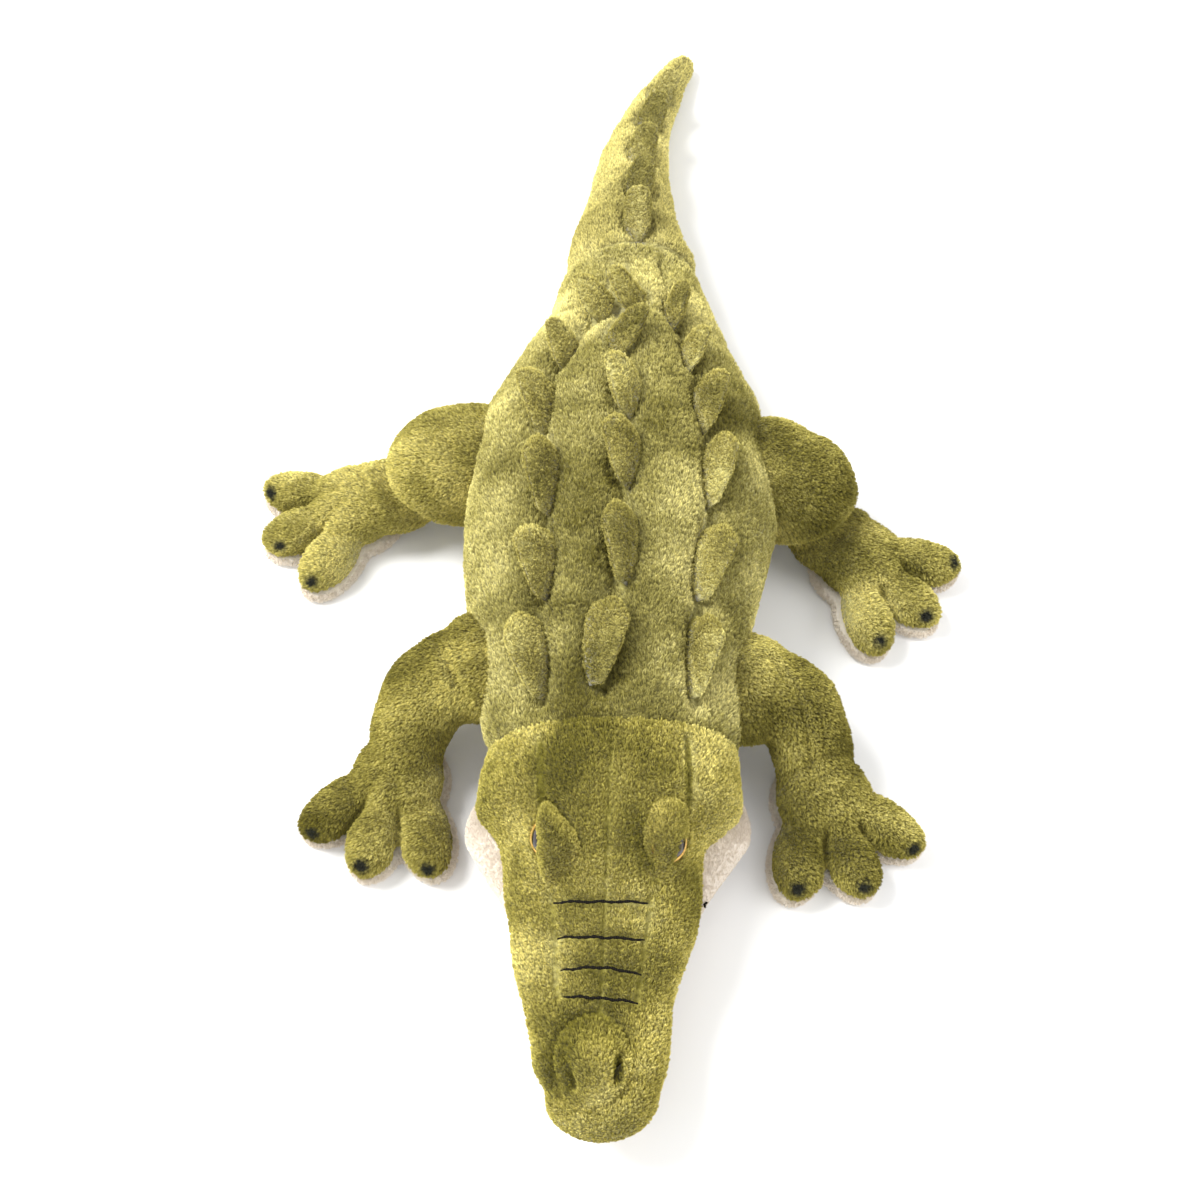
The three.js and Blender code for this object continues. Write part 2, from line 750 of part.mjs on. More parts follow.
function addTail() {
  const rootKeep = movedSide(tailSeam).intersect(heldSide(tipSeam)).intersect(aboveFloor);
  const tipKeep = movedSide(tipSeam).intersect(aboveFloor);
  const inside = clothThickness + fitGap;
  const parts = [
    ['tail_root', tailRootForm, rootKeep, colours.tail],
    ['tail_tip', tailTipForm, tipKeep, colours.tip],
  ];
  for (const [name, form, keep, colour] of parts) {
    const lining = formSolid(form, clothThickness, tailFacets);
    const cloth = formSolid(form, 0, tailFacets).subtract(lining);
    addPiece(`${name}_cloth`, cloth.intersect(keep), colour, clothRoughness);
    addPiece(`${name}_filling`, formSolid(form, inside, tailFacets).intersect(keep),
      colours.filling, fillingRoughness);
  }
}

function addLeg(leg) {
  const limbs = leg.front ? frontLimbs : hindLimbs;
  const inside = clothThickness + fitGap;
  const shape = (inset) => limbs(leg, inset).add(rootBall(leg, inset, 0));
  const foot = footForm(leg, -fitGap);
  const openEdge = torsoHalfWidth * leg.out - (leg.front ? frontRootRadius : hindRootRadius) / 2;
  const opening = block(new THREE.Vector3(-openEdge, -reach, -reach),
    new THREE.Vector3(openEdge, reach, reach));
  const cloth = shape(0).subtract(shape(clothThickness)).subtract(opening);
  const filling = shape(inside);
  const colour = leg.front ? colours.frontLeg : colours.hindLeg;
  addPiece(`leg_${leg.name}_cloth`, cloth.subtract(foot).intersect(aboveFloor), colour,
    clothRoughness);
  addPiece(`leg_${leg.name}_filling`, filling.subtract(foot).intersect(aboveFloor),
    colours.filling, fillingRoughness);
}

function addFoot(leg) {
  const aboveSole = aboveHeight(soleHeight + fitGap);
  const outer = footForm(leg, 0);
  const lining = footForm(leg, clothThickness);
  const filling = footForm(leg, clothThickness + fitGap);
  const sole = footForm(leg, -soleRim).subtract(aboveHeight(soleHeight)).intersect(aboveFloor);
  addPiece(`foot_${leg.name}_cloth`, outer.subtract(lining).intersect(aboveSole), colours.foot,
    clothRoughness);
  addPiece(`foot_${leg.name}_sole`, sole, colours.jaw, clothRoughness);
  addPiece(`foot_${leg.name}_filling`, filling.intersect(aboveSole), colours.filling,
    fillingRoughness);
}

// Fins: plump triangles with their base along a seam

function finSolid(carrier, place, [, outShare, lengthShare, heightShare, lean]) {
  const { point, normal } = surfaceAt(carrier, place, outShare);
  const rise = normal.applyAxisAngle(backward, radians(lean) * (outShare < 0 ? -1 : 1));
  const height = finHeight * heightShare;
  const rows = [[-finRoot / height, 1, 1], ...finOutlineShares].map(([tall, wide, thick]) => ({
    at: point.clone().addScaledVector(rise, height * tall),
    wide: (finLength / 2) * lengthShare * wide,
    above: (finThickness / 2) * heightShare * thick,
    below: (finThickness / 2) * heightShare * thick,
  }));
  return formSolid(stuffedForm(rows, 0, 0, 1, leftward), 0, finFacets);
}

function addFins(name, carrier, start, length, shares, carrierGrown) {
  shares.forEach((row, index) => {
    const place = shareAt(carrier, start + length * row[0]);
    const fin = finSolid(carrier, place, row).subtract(carrierGrown);
    addPiece(`${name}_${index + 1}`, fin, colours.fin, clothRoughness);
  });
}

addTorso();
addHead();
addTail();
legs.forEach(addLeg);
legs.forEach(addFoot);
const rootGrown = formSolid(tailRootForm, -fitGap, tailFacets);
const tipGrown = formSolid(tailTipForm, -fitGap, tailFacets);
addFins('fin_middle', torsoForm, -neckFromMiddle, torsoLength, middleFinShares, torsoGrown);
addFins('fin_left', torsoForm, -neckFromMiddle, torsoLength, leftFinShares, torsoGrown);
addFins('fin_right', torsoForm, -neckFromMiddle, torsoLength, rightFinShares, torsoGrown);
addFins('fin_tail_root', tailRootForm, torsoEnd, tailRootLength, tailRootFinShares, rootGrown);
addFins('fin_tail_tip', tailTipForm, torsoEnd + tailRootLength, tailTipLength, tailTipFinShares,
  tipGrown);

export default group;
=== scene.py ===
"""A plush crocodile lying on its belly, with its legs spread and its tail bent to one side.

Lengths are in millimetres and become metres where a mesh is made. Only the camera, the lights,
the floor and the shaders are in metres. +Z is up, the head is toward -Y and the animal's own left
is +X. The driving sizes are those of the CAD source and the tables of shares follow its own
closely, so that every stuffed piece lies in the space of its CAD solids.
"""

import math

import bmesh
import bpy
import numpy as np
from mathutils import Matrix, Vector, noise


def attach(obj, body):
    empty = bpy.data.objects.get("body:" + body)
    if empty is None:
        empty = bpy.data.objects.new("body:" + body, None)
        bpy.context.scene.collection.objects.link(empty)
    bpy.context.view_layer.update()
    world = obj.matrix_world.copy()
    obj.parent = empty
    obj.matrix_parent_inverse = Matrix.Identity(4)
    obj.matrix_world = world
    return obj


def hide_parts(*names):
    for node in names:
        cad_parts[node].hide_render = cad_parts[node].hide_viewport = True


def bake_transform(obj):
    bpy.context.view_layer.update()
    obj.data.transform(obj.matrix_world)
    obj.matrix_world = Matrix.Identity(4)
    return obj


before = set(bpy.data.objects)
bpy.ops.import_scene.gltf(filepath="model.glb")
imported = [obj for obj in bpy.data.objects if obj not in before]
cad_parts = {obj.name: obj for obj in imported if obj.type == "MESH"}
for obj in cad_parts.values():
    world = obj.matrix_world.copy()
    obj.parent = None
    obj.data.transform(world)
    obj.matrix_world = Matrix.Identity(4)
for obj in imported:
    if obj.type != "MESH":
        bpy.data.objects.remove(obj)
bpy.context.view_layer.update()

MM = 0.001
TAU = 2 * math.pi
UP = np.array([0.0, 0.0, 1.0])

# Camera: place and target in metres, lens and sensor in millimetres, nearest view in metres
CAMERA_PLACE = (-0.008, -0.3155, 0.5933)
CAMERA_TARGET = (-0.008, 0.0, 0.0)
CAMERA_LENS = 48
CAMERA_SENSOR = 36
CAMERA_NEAR = 0.01

# Studio, in metres: place, size and power of each soft light, the white surround, the floor
SOFTBOXES = {
    "softbox_left": ((-1.0, 0.35, 1.4), 0.9, 42),
    "softbox_right": ((1.1, -0.3, 1.4), 1.2, 9),
}
WHITE = (1, 1, 1, 1)
WORLD_STRENGTH = 0.95
FLOOR_HALF = 6
FLOOR_LOOK = {"Base Color": (0.93, 0.93, 0.93, 1), "Roughness": 0.9, "Specular IOR Level": 0.1}

# Driving sizes of torso, head and tail, as in the CAD source
NECK_Y = -86
TORSO_LENGTH = 232
TORSO_HALF_WIDTH = 62.5
TORSO_HEIGHT = 85
TORSO_DRIFT = 6
BELLY_SEAM = 15
HEAD_LENGTH = 121
HEAD_HALF_WIDTH = 50
HEAD_DRIFT = -5
SNOUT_CAP = 17
MOUTH_HEIGHT = 18
JAW_LENGTH = 117
JAW_HALF_WIDTH = 54
JAW_HEIGHT = 37
JAW_CAP = 15
TAIL_ROOT_LENGTH = 54
TAIL_TIP_LENGTH = 98
TAIL_ROOT_DRIFT = 2
TAIL_TIP_DRIFT = 24
TAIL_CAP = 8

# The cloth lies this far under the CAD surface, which is about where the pile ends
PILE_ROOM = 1.3
FLOOR_GAP = 0.3
SEAM_GAP = 0.15

# Rows: shares of the length, of the drift, of the half width and of the height at the top; the
# last is how far up that height the body is widest
TORSO_SHARES = [
    (-0.04, -0.5, 0.71, 0.84, 0.52),
    (0.00, -0.5, 0.75, 0.87, 0.52),
    (0.09, -0.5, 0.80, 0.90, 0.51),
    (0.20, -0.55, 0.88, 0.95, 0.49),
    (0.33, -0.25, 0.975, 0.99, 0.475),
    (0.46, 0.07, 1.00, 1.00, 0.47),
    (0.57, 0.17, 0.96, 0.98, 0.47),
    (0.67, 0.25, 0.89, 0.93, 0.47),
    (0.78, 0.65, 0.725, 0.86, 0.47),
    (0.89, 0.95, 0.565, 0.76, 0.475),
    (1.00, 0.9, 0.475, 0.64, 0.48),
    (1.08, 0.8, 0.455, 0.60, 0.48),
]
HEAD_SHARES = [
    (-0.22, 0.6, 0.93, 1.00, 0.51),
    (0.00, 0.6, 0.95, 1.00, 0.50),
    (0.10, 0.75, 0.97, 0.99, 0.49),
    (0.18, 0.9, 0.99, 0.955, 0.49),
    (0.24, 1.15, 0.88, 0.92, 0.495),
    (0.31, 1.45, 0.755, 0.88, 0.51),
    (0.50, 1.27, 0.69, 0.73, 0.58),
    (0.72, 1.6, 0.56, 0.60, 0.64),
    (0.86, 1.65, 0.50, 0.58, 0.64),
    (0.94, 1.6, 0.46, 0.64, 0.58),
    (1.00, 1.5, 0.39, 0.62, 0.58),
]
JAW_SHARES = [
    (-0.22, 0.6, 0.80, 0.98, 0.58),
    (0.00, 0.6, 0.82, 1.00, 0.58),
    (0.08, 0.7, 0.88, 1.02, 0.58),
    (0.15, 0.9, 0.97, 1.03, 0.58),
    (0.24, 1.0, 1.00, 1.02, 0.58),
    (0.31, 1.1, 0.92, 1.00, 0.58),
    (0.50, 1.3, 0.66, 0.90, 0.60),
    (0.76, 1.6, 0.48, 0.78, 0.62),
    (0.92, 1.65, 0.37, 0.72, 0.62),
    (1.00, 1.55, 0.31, 0.70, 0.62),
]
TAIL_ROOT_SHARES = [
    (-0.28, 0.0, 1.03, 1.02, 0.47),
    (0.00, 0.0, 1.00, 1.00, 0.48),
    (0.25, -0.6, 0.92, 0.95, 0.47),
    (0.57, -0.5, 0.80, 0.88, 0.47),
    (1.00, 0.15, 0.65, 0.76, 0.47),
    (1.15, 0.4, 0.62, 0.73, 0.47),
]
TAIL_TIP_SHARES = [
    (-0.15, -0.09, 1.06, 1.04, 0.47),
    (0.00, -0.07, 1.00, 1.00, 0.47),
    (0.26, 0.025, 0.845, 0.845, 0.47),
    (0.52, 0.26, 0.64, 0.67, 0.47),
    (0.75, 0.59, 0.51, 0.545, 0.47),
    (0.93, 0.89, 0.39, 0.44, 0.47),
    (1.00, 1.03, 0.315, 0.37, 0.47),
]

# Legs: place as shares of the torso's half width, of its length and of the leg's reach, then
# the headings of leg and foot in degrees from -Y, turned outward
LEG_REACH = 48
LEGS = {
    "front_left": {"side": 1, "out": 0.768, "along": 0.125, "reach": 0.865, "turns": (42, 21)},
    "front_right": {"side": -1, "out": 0.832, "along": 0.1638, "reach": 0.94, "turns": (46, 18)},
    "hind_left": {"side": 1, "out": 0.976, "along": 0.5366, "reach": 0.87, "turns": (57, 47)},
    "hind_right": {"side": -1, "out": 0.96, "along": 0.556, "reach": 0.98, "turns": (86, 66)},
}
FRONT_ROOT = {"radius": 20, "half_length": 22, "height": 37}
HIND_ROOT = {"radius": 26, "half_length": 30, "height": 32}
ELBOW = {"radius": 17, "height": 32, "bow": 9, "along": 0.44}
WRIST_RADIUS = 14
THIGH = {"out": 9, "half_width": 27, "half_length": 30, "half_height": 25.5}
SHIN = {"half_width": 17, "half_height": 14, "height": 20}
ANKLE = {"half_height": 10.5, "height": 16}
PAD = {"half_length": 19, "half_width": 18, "height": 27, "forward": 5}
TOE = {"reach": 46, "half_length": 19, "half_width": 10.5, "height": 19.5, "spread": 37}
SOLE_HEIGHT = 5
SOLE_RIM = 0.9

# Fins: the largest one's base along the seam, height and thickness, and how deep it is sewn in.
# Rows: shares of the carrier's length and half width, of the largest fin's length and height,
# then the lean outward in degrees.
FIN_LENGTH = 34
FIN_HEIGHT = 17
FIN_THICKNESS = 11
FIN_ROOT = 7
FIN_SHARES = {
    "fin_middle": [
        (0.12, -0.07, 0.98, 0.84, -40),
        (0.283, 0.03, 0.95, 0.80, -26),
        (0.45, 0, 0.86, 0.82, -28),
        (0.588, 0, 0.78, 0.84, -28),
        (0.715, 0, 0.56, 0.90, 36),
        (0.83, -0.04, 0.50, 0.80, 38),
    ],
    "fin_right": [
        (0.11, -0.60, 0.97, 0.80, 6),
        (0.262, -0.49, 0.86, 0.84, 10),
        (0.42, -0.48, 0.94, 0.74, 10),
        (0.58, -0.56, 0.80, 0.80, 8),
        (0.703, -0.48, 0.60, 0.74, 8),
        (0.818, -0.36, 0.58, 0.80, 30),
    ],
    "fin_left": [
        (0.112, 0.63, 0.94, 0.72, 4),
        (0.27, 0.62, 0.90, 0.80, 6),
        (0.438, 0.59, 0.92, 0.76, 4),
        (0.575, 0.565, 0.78, 0.80, 4),
        (0.70, 0.53, 0.56, 0.66, 4),
        (0.80, 0.44, 0.60, 0.72, -4),
    ],
    "fin_tail_root": [
        (0.235, 0.15, 0.74, 0.84, 0),
        (0.70, 0.2, 0.60, 0.84, 0),
    ],
    "fin_tail_tip": [
        (0.14, 0.25, 0.62, 0.78, 0),
        (0.44, 0.3, 0.60, 0.76, 0),
        (0.69, 0.3, 0.50, 0.68, 0),
    ],
}


# Camera, floor and light

def linked(name, data):
    thing = bpy.data.objects.new(name, data)
    bpy.context.scene.collection.objects.link(thing)
    return thing


def aim(thing, place, target):
    thing.location = place
    thing.rotation_euler = (Vector(target) - Vector(place)).to_track_quat("-Z", "Y").to_euler()


def add_camera():
    data = bpy.data.cameras.new("studio_camera")
    data.lens = CAMERA_LENS
    data.sensor_width = CAMERA_SENSOR
    data.clip_start = CAMERA_NEAR
    camera = linked("studio_camera", data)
    aim(camera, CAMERA_PLACE, CAMERA_TARGET)
    bpy.context.scene.camera = camera


def add_softbox(name, place, size, power):
    data = bpy.data.lights.new(name, "AREA")
    data.shape = "DISK"
    data.size = size
    data.energy = power
    aim(linked(name, data), place, (0, 0, 0))


def add_world():
    world = bpy.data.worlds.new("studio")
    world.use_nodes = True
    background = world.node_tree.nodes["Background"]
    background.inputs["Color"].default_value = WHITE
    background.inputs["Strength"].default_value = WORLD_STRENGTH
    bpy.context.scene.world = world


def add_floor():
    data = bpy.data.meshes.new("studio_floor")
    half = FLOOR_HALF
    corners = [(-half, -half, 0), (half, -half, 0), (half, half, 0), (-half, half, 0)]
    data.from_pydata(corners, [], [(0, 1, 2, 3)])
    floor = linked("studio_floor", data)
    material = bpy.data.materials.new("studio_floor")
    material.use_nodes = True
    shader = material.node_tree.nodes["Principled BSDF"]
    for name, value in FLOOR_LOOK.items():
        shader.inputs[name].default_value = value
    data.materials.append(material)


bpy.context.scene.view_settings.view_transform = "Standard"
add_camera()
add_world()
for softbox_name, softbox in SOFTBOXES.items():
    add_softbox(softbox_name, *softbox)
add_floor()


# Materials

def linear(colour):
    """An sRGB colour of 0 to 255 as the linear colour a shader takes"""
    shares = [value / 255 for value in colour]
    return [s / 12.92 if s < 0.04045 else ((s + 0.055) / 1.055) ** 2.4 for s in shares] + [1]


class Shader:
    """A material's node tree, with short calls to add and join nodes"""

    def __init__(self, name):
        self.material = bpy.data.materials.new(name)
        self.material.use_nodes = True
        self.tree = self.material.node_tree
        self.surface = self.tree.nodes["Principled BSDF"]

    def put(self, socket, value):
        if isinstance(value, bpy.types.NodeSocket):
            self.tree.links.new(value, socket)
        else:
            socket.default_value = value

    def add(self, kind, inputs=None, output=0, **settings):
        node = self.tree.nodes.new(kind)
        for name, value in settings.items():
            setattr(node, name, value)
        for name, value in (inputs or {}).items():
            self.put(node.inputs[name], value)
        return node.outputs[output]

    def place(self):
        return self.add("ShaderNodeTexCoord", output="Object")

    def noise(self, vector, scale, detail=2.0, roughness=0.5):
        return self.add("ShaderNodeTexNoise", {
            "Vector": vector, "Scale": scale, "Detail": detail, "Roughness": roughness})

    def math(self, first, second, operation="ADD"):
        return self.add("ShaderNodeMath", {0: first, 1: second}, operation=operation)

    def weigh(self, *pairs):
        """The sum of some values, each times its share"""
        total, *others = [self.math(value, share, "MULTIPLY") for value, share in pairs]
        for other in others:
            total = self.math(total, other)
        return total

    def vector(self, first, second, operation, output="Vector"):
        inputs = {0: first, 1: second}
        return self.add("ShaderNodeVectorMath", inputs, output, operation=operation)

    def ramp(self, value, places, colours):
        node = self.tree.nodes.new("ShaderNodeValToRGB")
        self.put(node.inputs[0], value)
        elements = node.color_ramp.elements
        while len(elements) < len(places):
            elements.new(0.5)
        for element, place, colour in zip(elements, places, colours):
            element.position = place
            element.color = colour
        return node.outputs[0]

    def tones(self, value, places, tones):
        """A ramp through sRGB colours"""
        return self.ramp(value, places, [linear(tone) for tone in tones])

    def mix(self, share, first, second, blend="MIX"):
        node = self.tree.nodes.new("ShaderNodeMix")
        node.data_type = "RGBA"
        node.blend_type = blend
        for socket, value in zip((node.inputs[0], node.inputs[6], node.inputs[7]),
                                 (share, first, second)):
            self.put(socket, value)
        return node.outputs[2]

    def bump(self, height, strength, distance):
        return self.add("ShaderNodeBump", {
            "Height": height, "Strength": strength, "Distance": distance})

    def finish(self, colour, look, normal=None):
        """The material, once the surface has its colour, its look and its bump"""
        self.put(self.surface.inputs["Base Color"], colour)
        for name, value in look.items():
            self.put(self.surface.inputs[name], value)
        if normal:
            self.put(self.surface.inputs["Normal"], normal)
        return self.material


# Noises of the plush, as scale, detail and roughness, and the share of the tone each makes up
PATCHES = (32, 3.0, 0.55)
PATCH_SHARE = 0.50
BANDS = (1.0, 2.0, 0.5)
BAND_STRETCH = (7, 42, 12)
BAND_SHARE = 0.22
SPECKLE = (620, 2.0, 0.65)
SPECKLE_SHARE = 0.28
# Where the dark, middle and light tone lie
TONE_PLACES = (0.38, 0.50, 0.61)
# An oval of painted light and shade fades out between these shares of its size, and its
# edge wanders this much
LIGHT_OVAL_EDGE = (0.6, 1.3)
LIGHT_OVAL_UNEVEN = 1.2
# Claws, in metres: radius of a spot, how ragged its edge is and over how much it fades
CLAW_RADIUS = 0.0037
CLAW_RAGGED = 0.0036
CLAW_FADE = 0.0022
CLAW_COLOUR = (38, 40, 28)
# Noises of the cloth, and the share of its relief each makes up
TUFTS = (420, 4.0, 0.7)
TUFT_SHARE = 0.8
TUFT_PLACES = (0.3, 0.65)
WEAVE = (900, 2.0, 0.6)
WEAVE_SHARE = 0.3
# Bumps: strength, and depth in metres
CLOTH_BUMP = (0.9, 0.0012)
CLOTH_LOOK = {"Roughness": 0.95, "Specular IOR Level": 0.15, "Sheen Weight": 0.35,
              "Sheen Roughness": 0.5}
PILE_LOOK = {"Roughness": 0.75, "Specular IOR Level": 0.25, "Sheen Weight": 0.25,
             "Sheen Roughness": 0.4}
# Where a strand has the colour of its root, the plush's own and that of its tip
STRAND_PLACES = (0.0, 0.6, 1.0)


def plush_colour(shader, tones, spots, light_ovals):
    """Mottled plush: soft patches and cross bands from a dark to a light tone, then speckle"""
    place = shader.place()
    patches = shader.noise(place, *PATCHES)
    bands = shader.noise(shader.vector(place, BAND_STRETCH, "MULTIPLY"), *BANDS)
    speckle = shader.noise(place, *SPECKLE)
    tone = shader.weigh((patches, PATCH_SHARE), (bands, BAND_SHARE), (speckle, SPECKLE_SHARE))
    # Painted light and shade: each oval lightens or darkens the tone where it lies
    for oval in light_ovals:
        tone = shader.math(tone, painted_light_shift(shader, place, patches, oval))
    colour = shader.tones(tone, TONE_PLACES, tones)
    return claw_spots(shader, place, colour, spots) if spots else colour


def painted_light_shift(shader, place, patches, oval):
    """The tone shift of an oval of painted light and shade, with an uneven edge"""
    x, y, half_width, half_length, shift = oval
    offset = shader.vector(place, at(x, y, 0), "SUBTRACT")
    scaled = shader.vector(offset, (1 / (half_width * MM), 1 / (half_length * MM), 0), "MULTIPLY")
    distance = shader.vector(scaled, (0, 0, 0), "DISTANCE", "Value")
    uneven = shader.math(shader.math(patches, 0.5, "SUBTRACT"), LIGHT_OVAL_UNEVEN, "MULTIPLY")
    return shader.add("ShaderNodeMapRange", {
        "Value": shader.math(distance, uneven), "From Min": LIGHT_OVAL_EDGE[0],
        "From Max": LIGHT_OVAL_EDGE[1], "To Min": shift, "To Max": 0.0},
        interpolation_type="SMOOTHSTEP")


def claw_spots(shader, place, colour, spots):
    """Dark spots at the toes' ends, with a ragged edge"""
    nearest = None
    for spot in spots:
        distance = shader.vector(place, spot, "DISTANCE", "Value")
        nearest = distance if nearest is None else shader.math(nearest, distance, "MINIMUM")
    ragged = shader.math(shader.noise(place, SPECKLE[0]), CLAW_RAGGED, "MULTIPLY")
    share = shader.add("ShaderNodeMapRange", {
        "Value": shader.math(nearest, ragged), "From Min": CLAW_RADIUS,
        "From Max": CLAW_RADIUS + CLAW_FADE, "To Min": 1.0, "To Max": 0.0})
    return shader.mix(share, colour, linear(CLAW_COLOUR))


def plush_cloth(name, tones, spots, light_ovals):
    """Cloth under the pile, seen where it is thin: dense tufts with painted shade between them"""
    shader = Shader(name)
    place = shader.place()
    tufts = shader.noise(place, *TUFTS)
    relief = shader.weigh((tufts, TUFT_SHARE), (shader.noise(place, *WEAVE), WEAVE_SHARE))
    low = PILE_SHADES[tones in SMOOTH_TONES]["cloth"]
    # Painted shade: the cloth darkens between the tufts to its darkest share, as shade deep in
    # the pile and in the creases where the pile is thin
    shade = shader.ramp(tufts, TUFT_PLACES, [(low, low, low, 1), WHITE])
    colour = shader.mix(1.0, plush_colour(shader, tones, spots, light_ovals), shade, "MULTIPLY")
    return shader.finish(colour, CLOTH_LOOK, shader.bump(relief, *CLOTH_BUMP))


def plush_pile(name, tones, spots, light_ovals):
    """The pile's strands: darker at the root, paler at the tip, each a little different"""
    shader = Shader(name)
    shades = PILE_SHADES[tones in SMOOTH_TONES]
    root, tip, dull, bright = ((*shades[key], 1) for key in ("root", "tip", "dull", "bright"))
    colour = plush_colour(shader, tones, spots, light_ovals)
    along = shader.add("ShaderNodeHairInfo", output="Intercept")
    chance = shader.add("ShaderNodeHairInfo", output="Random")
    for shade in (shader.ramp(along, STRAND_PLACES, [root, WHITE, tip]),
                  shader.ramp(chance, (0.0, 1.0), [dull, bright])):
        colour = shader.mix(1.0, colour, shade, "MULTIPLY")
    return shader.finish(colour, PILE_LOOK)


GRAIN_DETAIL = 3.0
GRAIN_PLACES = (0.3, 0.7)


def grained(name, scale, tones, look, bump=None):
    """A hard surface in two tones of a fine grain"""
    shader = Shader(name)
    grain = shader.noise(shader.place(), scale, GRAIN_DETAIL)
    colour = shader.tones(grain, GRAIN_PLACES, tones)
    return shader.finish(colour, look, bump and shader.bump(grain, *bump))


def eye_plastic(name):
    """Polished dark plastic, flecked with brown"""
    return grained(name, 600, ((14, 8, 9), (40, 21, 19)), {
        "Roughness": 0.12, "Specular IOR Level": 0.35, "Coat Weight": 0.25,
        "Coat Roughness": 0.05})


def eye_gold(name):
    """The gold foil ring behind the clear edge of a safety eye"""
    return grained(name, 1500, ((176, 128, 52), (236, 196, 108)), {
        "Metallic": 0.6, "Roughness": 0.35})


def white_plastic(name):
    return grained(name, 900, ((214, 212, 205), (236, 234, 228)), {"Roughness": 0.45},
                   (0.2, 0.0002))


BLACK_THREAD = ((10, 9, 7), (34, 31, 24))
THREAD_PLIES = {"Scale": 420.0, "Distortion": 2.0}
THREAD_PLACES = (0.2, 0.8)
THREAD_BUMP = (0.6, 0.0004)
THREAD_LOOK = {"Roughness": 0.8, "Specular IOR Level": 0.1}


def thread(name, tones):
    """Embroidery thread: fine twisted plies across the stitch"""
    shader = Shader(name)
    plies = shader.add("ShaderNodeTexWave", {"Vector": shader.place(), **THREAD_PLIES},
                       bands_direction="X")
    colour = shader.tones(plies, THREAD_PLACES, tones)
    return shader.finish(colour, THREAD_LOOK, shader.bump(plies, *THREAD_BUMP))


GREEN_TONES = {
    "back": ((110, 103, 38), (166, 158, 90), (214, 206, 138)),
    "head": ((124, 117, 40), (180, 170, 86), (221, 212, 136)),
    "brow": ((124, 117, 42), (176, 166, 85), (218, 209, 131)),
    "tail": ((160, 151, 84), (186, 177, 108), (209, 200, 132)),
    "tip": ((178, 169, 100), (202, 193, 123), (221, 212, 145)),
    "front_leg": ((106, 99, 30), (158, 149, 74), (202, 193, 116)),
    "hind_leg": ((118, 111, 42), (174, 165, 88), (216, 207, 132)),
    "fin": ((118, 111, 44), (174, 164, 88), (218, 210, 136)),
    "tail_fin": ((122, 115, 52), (164, 155, 84), (216, 207, 137)),
}
CREAM_TONES = ((214, 202, 186), (224, 212, 197), (233, 222, 208))
# The soles are a lighter copy of the cream plush: painted light against the shade under the feet
SOLE_PAINTED_LIGHT_TONES = ((234, 224, 209), (243, 234, 221), (250, 243, 232))
SMOOTH_TONES = (CREAM_TONES, SOLE_PAINTED_LIGHT_TONES)

# The strands' shares of the colour, and the cloth's darkest share, painted shade deep in the
# pile, for green plush and then for the smoother cream plush
PILE_SHADES = (
    {"root": (0.30, 0.285, 0.22), "tip": (1.52, 1.51, 1.49), "dull": (0.57, 0.56, 0.50),
     "bright": (1.56, 1.55, 1.52), "cloth": 0.4},
    {"root": (0.95, 0.94, 0.92), "tip": (1.03, 1.03, 1.02), "dull": (0.95, 0.95, 0.94),
     "bright": (1.03, 1.03, 1.03), "cloth": 0.95},
)

# Ovals of painted light and shade, some also where the pile lies another way: middle, half
# width and half length, and the change of tone
PAINTED_LIGHT_AND_NAP = {
    "torso_back": [
        # The first oval, on the animal's right side toward the left softbox, is partly painted
        # light and partly pile lying another way
        (-58, 4, 22, 80, 0.035),
        (-18, 2, 17, 62, -0.035),
        (24, 52, 15, 36, -0.04),
        (24, -14, 12, 26, 0.02),
        (52, -12, 14, 56, -0.01),
        (0, -92, 60, 20, -0.06),
        (0, 104, 52, 30, 0.07),
    ],
    "head_upper": [
        # Partly painted sheen and partly pile lying another way: the head's left side lighter and
        # its middle darker
        (36, -104, 15, 22, 0.08),
        (-6, -112, 26, 26, -0.07),
        (-10, -200, 16, 18, -0.06),
        # Painted shade: dark thin ovals in the two outer seams of the head and in the two
        # nostrils
        (-29, -103, 1.4, 12, -0.13),
        (23.4, -103, 1.4, 11, -0.12),
        (-18.6, -203, 1.3, 5, -0.35),
        (-1.9, -202, 1.9, 4.6, -0.55),
    ],
    # Painted shade on the hind left thigh and the front left leg, away from the left softbox, and
    # painted light on the hind right thigh, toward it
    "leg_hind_left": [(92, 16, 30, 26, -0.09)],
    "leg_front_left": [(78, -80, 36, 40, -0.06)],
    "leg_hind_right": [(-120, 26, 16, 18, 0.03)],
}


# Meshes

def at(x, y, z):
    """A place in millimetres as one in metres"""
    return (x * MM, y * MM, z * MM)


def full_turn(sides):
    return np.linspace(0, TAU, sides, endpoint=False)


def mesh_object(name, points, faces):
    """A closed mesh from points in millimetres"""
    data = bpy.data.meshes.new(name)
    data.from_pydata((np.asarray(points) * MM).tolist(), [], faces)
    data.validate()
    data.shade_smooth()
    piece = linked(name, data)
    outward_faces(piece)
    return piece


def outward_faces(piece):
    work = bmesh.new()
    work.from_mesh(piece.data)
    if work.calc_volume(signed=True) < 0:
        bmesh.ops.reverse_faces(work, faces=work.faces)
    work.to_mesh(piece.data)
    work.free()


def ring_faces(rings, sides):
    """Faces of a loft whose points are a start pole, rings and an end pole"""
    faces = []
    last = 1 + rings * sides
    for side in range(sides):
        after = (side + 1) % sides
        faces.append((0, 1 + side, 1 + after))
        for ring in range(rings - 1):
            here = 1 + ring * sides
            there = here + sides
            faces.append((here + side, there + side, there + after, here + after))
        end = last - sides
        faces.append((last, end + after, end + side))
    return faces


